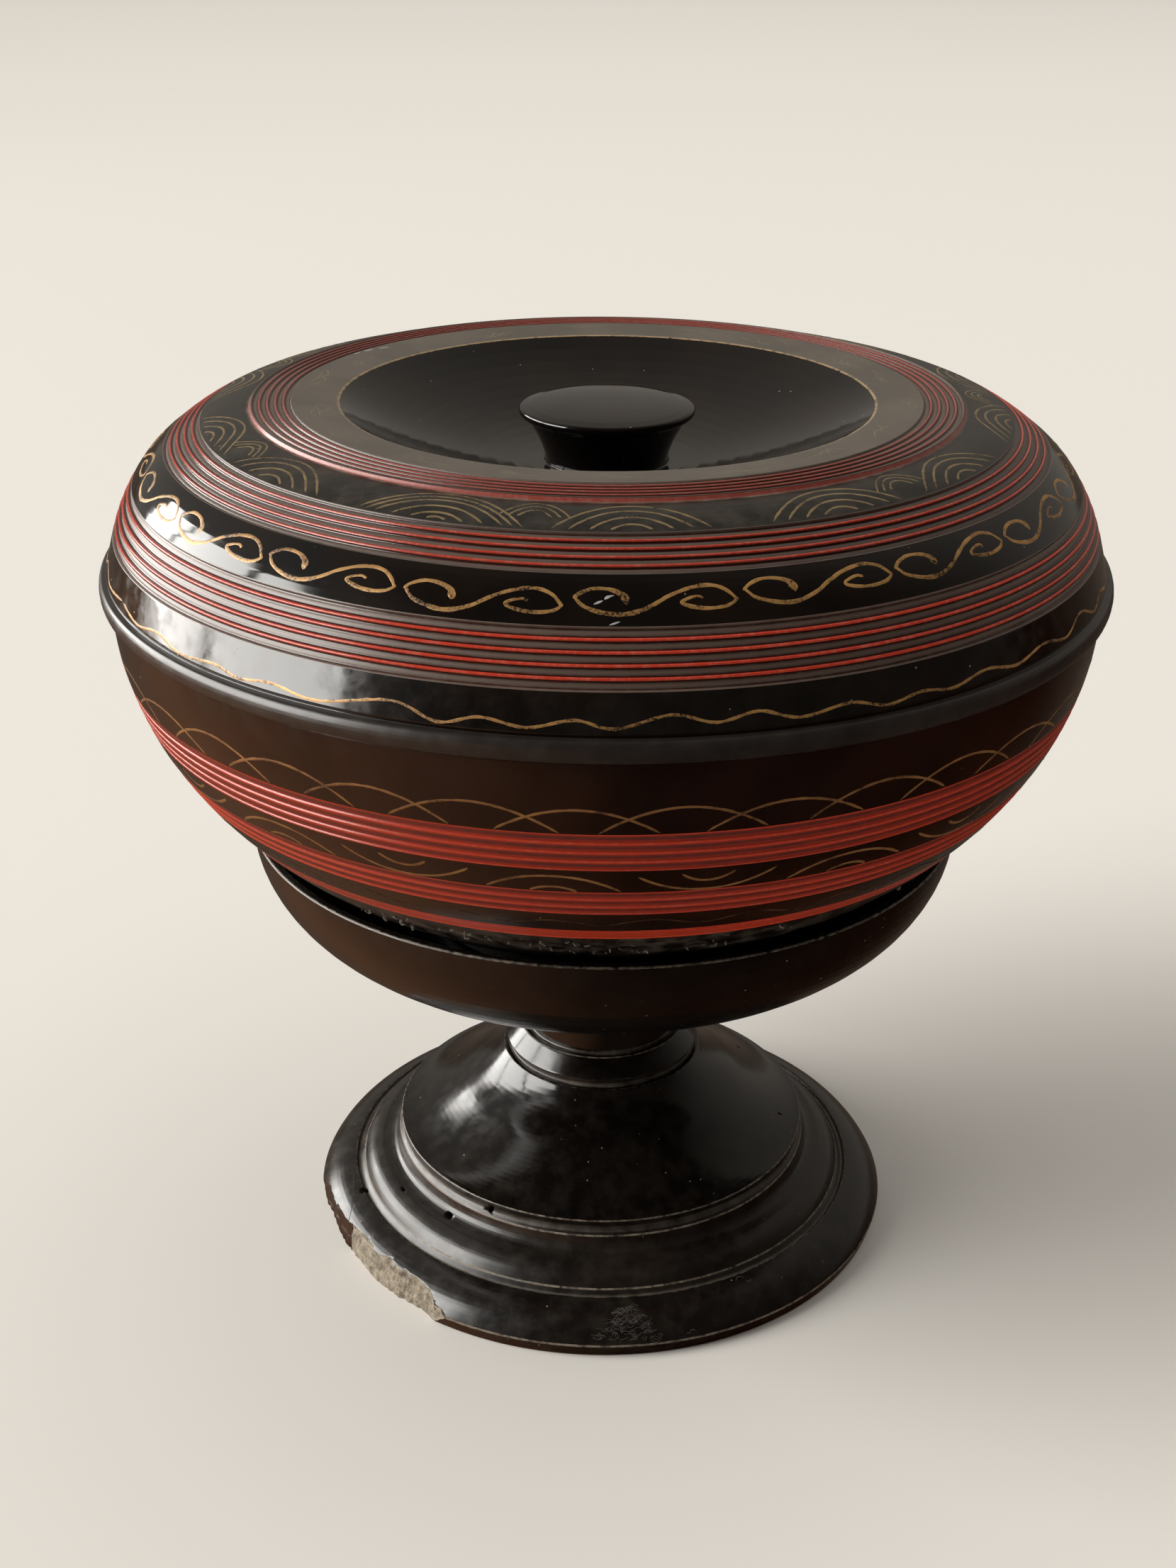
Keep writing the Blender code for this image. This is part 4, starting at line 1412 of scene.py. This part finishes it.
@dataclass
class StandFoot:
    """The stand's foot: a hollow cone on two mouldings, with a broken rim and worm holes."""

    foot_radius: float = 76.2 * MM
    edge: float = 3.4 * MM
    undercut: float = 1.0 * MM
    flange_inner: Point = (66.7 * MM, 11.0 * MM)
    flange_bow: float = 1.5 * MM
    groove: Point = (65.8 * MM, 10.0 * MM)
    torus_low: Point = (64.3 * MM, 11.5 * MM)
    torus_high: Point = (54.6 * MM, 20.3 * MM)
    torus_swing: float = 1.7 * MM
    cone_foot: Point = (54.1 * MM, 24.4 * MM)
    cone_top: Point = (26.0 * MM, 45.0 * MM)
    neck: Point = (24.3 * MM, 46.9 * MM)
    hollow: float = 1.35
    flare: float = 0.7 * MM
    flare_reach: float = 0.42
    socket_radius: float = 13.3 * MM
    socket_floor: float = 32.9 * MM
    ring_width: float = 15.2 * MM
    recess: float = 3.0 * MM

    SLOT = "stand_lacquer"
    CONE_RUNS = 24
    TORUS_RUNS = 14
    FLANGE_RUNS = 10

    # The broken rim: azimuth, the radius that is left at the table, and ten times the lean of the break
    BREAK = (
        *((-92.0, 77.2, 0.0), (-86.0, 76.3, 0.0), (-80.0, 75.0, 0.0), (-76.0, 74.2, 0.0), (-70.0, 73.9, 0.2)),
        *((-65.0, 73.8, 0.6), (-61.0, 73.5, 0.8), (-56.0, 73.5, 1.5), (-52.0, 73.9, 1.0), (-48.0, 73.9, 1.7)),
        *((-44.0, 73.9, 1.5), (-40.0, 73.5, 1.2), (-36.0, 73.8, 0.8), (-34.0, 74.9, 0.8), (-32.0, 75.6, 0.3)),
        *((-28.0, 76.6, 0.0), (-24.0, 77.4, 0.0)),
    )
    BREAK_ROWS = 8
    BREAK_LOW = -2.0 * MM
    BREAK_HIGH = 12.0 * MM
    CUT_REACH = 12.0 * MM
    RAGGED = 0.42 * MM

    # Left of this azimuth the broken rim has been worn round and dark
    BARE_FROM = -62.0
    HOLES = (
        WormHole(-70.0, 66.5 * MM, 10.2 * MM, (2.0 * MM, 1.6 * MM)),
        WormHole(-60.0, 59.0 * MM, 15.5 * MM, (1.0 * MM, 1.0 * MM)),
        WormHole(-43.0, 57.0 * MM, 16.8 * MM, (2.7 * MM, 2.0 * MM)),
        WormHole(-31.0, 53.6 * MM, 22.0 * MM, (1.8 * MM, 2.1 * MM)),
        WormHole(116.0, 42.0 * MM, 30.0 * MM, (1.8 * MM, 1.1 * MM)),
        WormHole(80.0, 48.5 * MM, 26.4 * MM, (0.9 * MM, 1.4 * MM)),
    )
    HOLE_DEPTH = 3.5 * MM

    # The crack beside the break: azimuth, and millimetres down the flange
    CRACK = ((-77.0, 1.2), (-72.5, 2.2), (-69.0, 3.4), (-66.5, 4.8), (-64.5, 6.6), (-63.6, 8.4))
    CRACK_WIDTH = 0.28

    # The rubbed patch at the front, and the flakes beside it: azimuth, millimetres down, half span, rise
    SCRATCHES = 110
    SCUFF_MIDDLE = 5.5
    FLAKES = ((31.0, 1.6, 1.3, 0.9), (32.6, 2.4, 0.6, -0.5), (17.8, 10.6, 0.6, 0.4), (17.0, 11.0, 0.5, 0.3))

    def __post_init__(self) -> None:
        """Finds the flange's upper side."""
        self.flange = Ground(self.flange_inner, (self.foot_radius, self.edge), self.flange_bow)

    def build(self) -> None:
        """Builds the foot, breaks its rim and bores its holes, and draws its crack and scratches."""
        foot = self.body()
        bores = [self.hole_cutter(number, hole) for number, hole in enumerate(self.HOLES)]
        self.cut(foot, [self.break_cutter(), *bores])
        ridden(foot, self.SLOT, "stand_foot")
        brush = Brush("rim_crack", CRACK_DARK, thickness=0.02 * MM, seed=19)
        brush.stroke(self.flange, smooth_path([(*knot, self.CRACK_WIDTH) for knot in self.CRACK], 5))
        brush.ride(self.SLOT)
        self.scuffs()

    def body(self) -> Piece:
        """Turns the foot, from its socket over the cone to the table and back under.

        Returns:
            The foot's piece.
        """
        section = Section()
        section.start((0.0, self.socket_floor))
        section.to((self.socket_radius, self.socket_floor), SPLIT_WOOD)
        section.to((self.socket_radius, self.neck[1]), SPLIT_WOOD)
        section.to(self.neck, STAND_BLACK, soft=0.2, wear=0.4)
        section.to((self.neck[0], self.cone_top[1]), STAND_SATIN, soft=0.4, dust=0.7)
        section.to(self.cone_top, STAND_BLACK, soft=0.3, wear=0.5)
        rise = self.cone_top[1] - self.cone_foot[1]
        for step in range(1, self.CONE_RUNS):
            share = step / self.CONE_RUNS
            radius = self.cone_top[0] + (self.cone_foot[0] - self.cone_top[0]) * share
            near = min(share / self.flare_reach, 1.0)
            sunk = self.flare * near * (1.0 - near) ** 2 * 27.0 / 4.0
            section.to((radius, self.cone_foot[1] + rise * (1.0 - share) ** self.hollow - sunk), STAND_BLACK)
        section.to(self.cone_foot, STAND_BLACK, soft=0.5, wear=0.7)
        step_foot = (self.torus_high[0] - 1.3 * MM, self.torus_high[1] + 1.3 * MM)
        section.to(step_foot, STAND_SATIN, soft=0.8, dust=0.5)
        section.to(self.torus_high, STAND_SATIN, soft=0.4, wear=0.8)
        torus = Ground(self.torus_high, self.torus_low)
        for step in range(1, self.TORUS_RUNS):
            share = step / self.TORUS_RUNS
            swing = math.sin(share * math.tau) * (-1.0 if share < 0.5 else -0.5)
            section.to(torus.section(torus.width * share, self.torus_swing * swing), STAND_SATIN)
        section.to(self.torus_low, STAND_SATIN, soft=0.4, wear=0.8)
        section.to(self.groove, STAND_SATIN, soft=0.4, dust=0.6)
        section.to(self.flange_inner, FLANGE_SATIN, soft=0.4, wear=0.5)
        section.through(self.flange.inner_points(self.FLANGE_RUNS), FLANGE_SATIN)
        section.to(self.flange.lower, FLANGE_SATIN, soft=0.5, wear=0.9)
        section.to((self.foot_radius - self.undercut, 0.0), FLANGE_SATIN, soft=0.4, wear=0.6)
        inner = self.foot_radius - self.ring_width
        section.to((inner, 0.0), STAND_SATIN, soft=0.6, wear=0.6)
        section.to((inner - self.recess, self.recess), STAND_SATIN, soft=1.5, dust=0.4)
        section.to((0.0, self.recess), STAND_SATIN)
        return section.turned("stand_foot_body")

    def scuffs(self) -> None:
        """Draws the rubbed patch's hairline scratches at the flange's front, and the flakes beside it."""
        brush = Brush("rim_scuffs", SCUFF_GREY, thickness=0.02 * MM, seed=43)
        hand = Random(67)
        for _ in range(self.SCRATCHES):
            share = hand.uniform(0.0, 1.0)
            azimuth = self.SCUFF_MIDDLE + hand.uniform(-1.0, 1.0) * (1.5 + 5.5 * share)
            half = hand.uniform(0.3, 1.6)
            rise = hand.uniform(-1.2, 1.2)
            brush.arch(self.flange, azimuth, 2.8 + 8.2 * share, half, rise, hand.uniform(0.06, 0.16), 1.5)
        for azimuth, down, half, rise in self.FLAKES:
            brush.arch(self.flange, azimuth, down, half, rise, 0.2)
        brush.ride(self.SLOT)

    def break_cutter(self) -> Piece:
        """Makes the body that the broken stretch of the rim is cut with.

        Returns:
            The cutter, with bare wood on it.
        """
        table = smooth_path(self.BREAK, 8)
        mesh = bmesh.new()
        count = len(table) - 1
        wall = bmesh.ops.create_grid(mesh, x_segments=count, y_segments=self.BREAK_ROWS, size=0.5)
        for corner in wall["verts"]:
            azimuth, radius, lean = table[round((corner.co.x + 0.5) * count)]
            height = self.BREAK_LOW + (self.BREAK_HIGH - self.BREAK_LOW) * (corner.co.y + 0.5)
            ragged = noise.fractal(Vector((azimuth / 1.6, height / (1.3 * MM), 4.0)), 0.8, 2.2, 4)
            leant = radius * MM - lean / 10.0 * max(height, 0.0)
            corner.co = around(leant + ragged * self.RAGGED, height, azimuth)
        outer = bmesh.ops.extrude_face_region(mesh, geom=mesh.faces[:])
        for corner in outer["geom"]:
            if isinstance(corner, bmesh.types.BMVert):
                reach = (self.foot_radius + self.CUT_REACH) / math.hypot(corner.co.x, corner.co.y)
                corner.co = (corner.co.x * reach, corner.co.y * reach, corner.co.z)
        bmesh.ops.recalc_face_normals(mesh, faces=mesh.faces[:])
        for face in mesh.faces:
            middle = face.calc_center_median()
            face.smooth = math.degrees(math.atan2(middle.x, -middle.y)) < self.BARE_FROM
            face.material_index = int(face.smooth)
        return finished("rim_break", mesh, [SPLIT_WOOD, STAND_SATIN])

    def hole_cutter(self, number: int, hole: WormHole) -> Piece:
        """Makes the bore that one worm hole is cut with.

        Args:
            number: The hole's number, for its name.
            hole: Where and how wide it is.

        Returns:
            The cutter, lined with wood dust.
        """
        mesh = bmesh.new()
        bmesh.ops.create_cone(mesh, cap_ends=True, segments=20, radius1=0.42, radius2=0.5, depth=1.0)
        across = Matrix.Diagonal((*hole.size, self.HOLE_DEPTH * 2.0, 1.0))
        lean = Matrix.Rotation(math.radians(hole.lean), 4, "Y") @ Matrix.Rotation(math.radians(45.0), 4, "X")
        turn = Matrix.Rotation(math.radians(hole.azimuth), 4, "Z")
        place = Matrix.Translation(around(hole.radius, hole.height, hole.azimuth))
        bmesh.ops.transform(mesh, matrix=place @ turn @ lean @ across, verts=mesh.verts[:])
        return finished(f"worm_bore_{number}", mesh, [HOLE_DARK])

    def cut(self, foot: Piece, cutters: Sequence[Piece]) -> None:
        """Cuts some bodies out of the foot.

        Args:
            foot: The foot.
            cutters: What is cut out; they are removed afterwards.
        """
        for cutter in cutters:
            cut = foot.modifiers.new(cutter.name, "BOOLEAN")
            cut.operation = "DIFFERENCE"
            cut.solver = "EXACT"
            cut.material_mode = "TRANSFER"
            cut.object = cutter
        graph = bpy.context.evaluated_depsgraph_get()
        whole = bpy.data.meshes.new_from_object(foot.evaluated_get(graph))
        foot.modifiers.clear()
        foot.data = whole
        for cutter in cutters:
            bpy.data.objects.remove(cutter, do_unlink=True)


class LampKind(Enum):
    """The kinds of studio light."""

    PANEL = "AREA"
    SUN = "SUN"


@dataclass(frozen=True)
class Lamp:
    """A studio light: a white rectangle that faces its aim, or daylight that comes from its place."""

    name: str
    place: Place
    power: float
    size: Point = (1.0, 1.0)
    aim: Place = (0.0, 0.0, 0.12)
    colour: str = "#fffdf8"
    mirrored: bool = True
    lights_dull: bool = True
    kind: LampKind = LampKind.PANEL
    softness: float = math.radians(38.0)

    def build(self) -> None:
        """Hangs the light."""
        data = bpy.data.lights.new(self.name, self.kind.value)
        if self.kind is LampKind.PANEL:
            data.shape = "RECTANGLE"
            data.size, data.size_y = self.size
        else:
            data.angle = self.softness
        data.energy = self.power
        data.color = linear(self.colour)[:3]
        lamp = bpy.data.objects.new(self.name, data)
        lamp.location = self.place
        lamp.visible_glossy = self.mirrored
        lamp.visible_diffuse = self.lights_dull
        lamp.rotation_euler = (Vector(self.aim) - Vector(self.place)).to_track_quat("-Z", "Y").to_euler()
        bpy.context.scene.collection.objects.link(lamp)


@dataclass
class Studio:
    """The pale floor, the soft light round it, and the camera where the photograph was taken."""

    floor_size: float = 14.0
    overhead: Lamp = Lamp("overhead", (0.2, 0.6, 4.2), 110.0, (7.0, 7.0), mirrored=False)
    daylight: Lamp = Lamp(
        "daylight",
        (-0.8, -0.12, 0.58),
        2.6,
        aim=(0.0, 0.0, 0.0),
        colour="#fffcf6",
        mirrored=False,
        kind=LampKind.SUN,
    )
    camera_place: Place = (0.0, -0.49249, 0.34515)
    focal_pixels: float = 3011.27
    photo_height: float = 2212.0
    sensor: float = 36.0
    pitch: float = 0.4295797
    yaw: float = 0.0080949
    roll: float = -0.0054498
    paper: str = "#d8d6d2"

    # The row of tall panes on the left, all in one plane, which only the gloss mirrors
    nearest_pane: Point = (-1.237, -0.399)
    pane_facing: Point = (0.956, 0.292)
    pane_step: float = 0.89
    pane_size: Point = (0.82, 0.98)
    pane_height: float = 0.51
    pane_power: float = 27.0
    panes: int = 3

    # What the lacquer mirrors, over and under the table's height: a colour, and those over it by an
    # axis of the direction and where on it each begins and is full
    ROOM = ("#38312b", ("Y", -0.3, 0.6, "#8e8880"), ("X", -0.45, -0.95, "#a5a29c"))
    # Under the table's height the lacquer mirrors a painted table: a pool of window light at the left, and
    # painted shade at the right and front
    TABLE = ("#33180a", ("X", 0.2, -0.9, "#c08a66"), ("Y", 0.3, 0.9, "#5c5046"))

    def build(self) -> None:
        """Lays the floor, lights it and sets up the camera."""
        mesh = bmesh.new()
        bmesh.ops.create_grid(mesh, x_segments=1, y_segments=1, size=self.floor_size / 2.0)
        floor = finished("studio_floor", mesh, [STUDIO_PAPER])
        floor.visible_glossy = False
        self.window()
        self.overhead.build()
        self.daylight.build()
        self.surround()
        self.camera()

    def window(self) -> None:
        """Hangs the panes, each facing straight out of the window's plane."""
        inward = Vector((*self.pane_facing, 0.0))
        across = Vector((-inward.y, inward.x, 0.0))
        for number in range(self.panes):
            place = Vector((*self.nearest_pane, self.pane_height)) + across * (self.pane_step * number)
            pane = Lamp(f"pane_{number}", tuple(place), self.pane_power, self.pane_size, lights_dull=False)
            replace(pane, aim=tuple(place + inward)).build()

    def surround(self) -> None:
        """Lights the scene from all round: pale walls behind and at the left, a dim room in front."""
        world = bpy.data.worlds.new("studio")
        world.use_nodes = True
        tree = world.node_tree
        add = partial(add_node, tree)
        axes = add("SeparateXYZ", {0: add("TexCoord", {}, "Generated")}).node.outputs
        halves = []
        for colour, *layers in (self.ROOM, self.TABLE):
            for axis, begins, full, code in layers:
                spread = {0: axes[axis], "From Min": begins, "From Max": full}
                share = add("MapRange", spread, interpolation_type=SMOOTH)
                colour = coated(tree, colour, (share, code))
            halves.append(colour)
        edge = {0: axes["Z"], "From Min": 0.02, "From Max": -0.06}
        under = add("MapRange", edge, interpolation_type=SMOOTH)
        seen = add("LightPath", {}, "Is Camera Ray")
        colour = coated(tree, halves[0], (under, halves[1]), (seen, self.paper))
        feed(tree.nodes["Background"], {"Color": colour, "Strength": 1.0})
        bpy.context.scene.world = world

    def camera(self) -> None:
        """Sets the camera where the photograph was taken, and makes it the scene's."""
        data = bpy.data.cameras.new("photo_camera")
        data.sensor_fit = "VERTICAL"
        data.sensor_height = self.sensor
        data.sensor_width = self.sensor
        data.lens = self.focal_pixels / self.photo_height * self.sensor
        data.clip_start = 0.01
        right = Vector((1.0, 0.0, 0.0))
        down = Vector((0.0, -math.sin(self.pitch), -math.cos(self.pitch)))
        ahead = Vector((0.0, math.cos(self.pitch), -math.sin(self.pitch)))
        turn = Matrix.Rotation(self.yaw, 3, "Z")
        side = turn @ (right * math.cos(self.roll) + down * math.sin(self.roll))
        low = turn @ (down * math.cos(self.roll) - right * math.sin(self.roll))
        axes = Matrix((side, -low, -(turn @ ahead))).transposed()
        camera = bpy.data.objects.new("photo_camera", data)
        camera.matrix_world = Matrix.Translation(self.camera_place) @ axes.to_4x4()
        bpy.context.scene.collection.objects.link(camera)
        bpy.context.scene.camera = camera


def clear_strays() -> None:
    """Removes what a new Blender file brings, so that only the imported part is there."""
    packed = set(frame["nodes"].values()) | set(frame["bodies"].values())
    for stray in set(bpy.data.objects) - packed:
        bpy.data.objects.remove(stray, do_unlink=True)


def main() -> None:
    """Builds the box, its stand and the studio."""
    logging.basicConfig(level=logging.INFO, format="%(message)s")
    clear_strays()
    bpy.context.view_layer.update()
    Lid().build()
    Bowl().build()
    StandDish().build()
    StandFoot().build()
    Studio().build()
    bpy.context.scene.view_settings.view_transform = "Standard"
    bpy.context.view_layer.update()


if __name__ == "__main__":
    main()
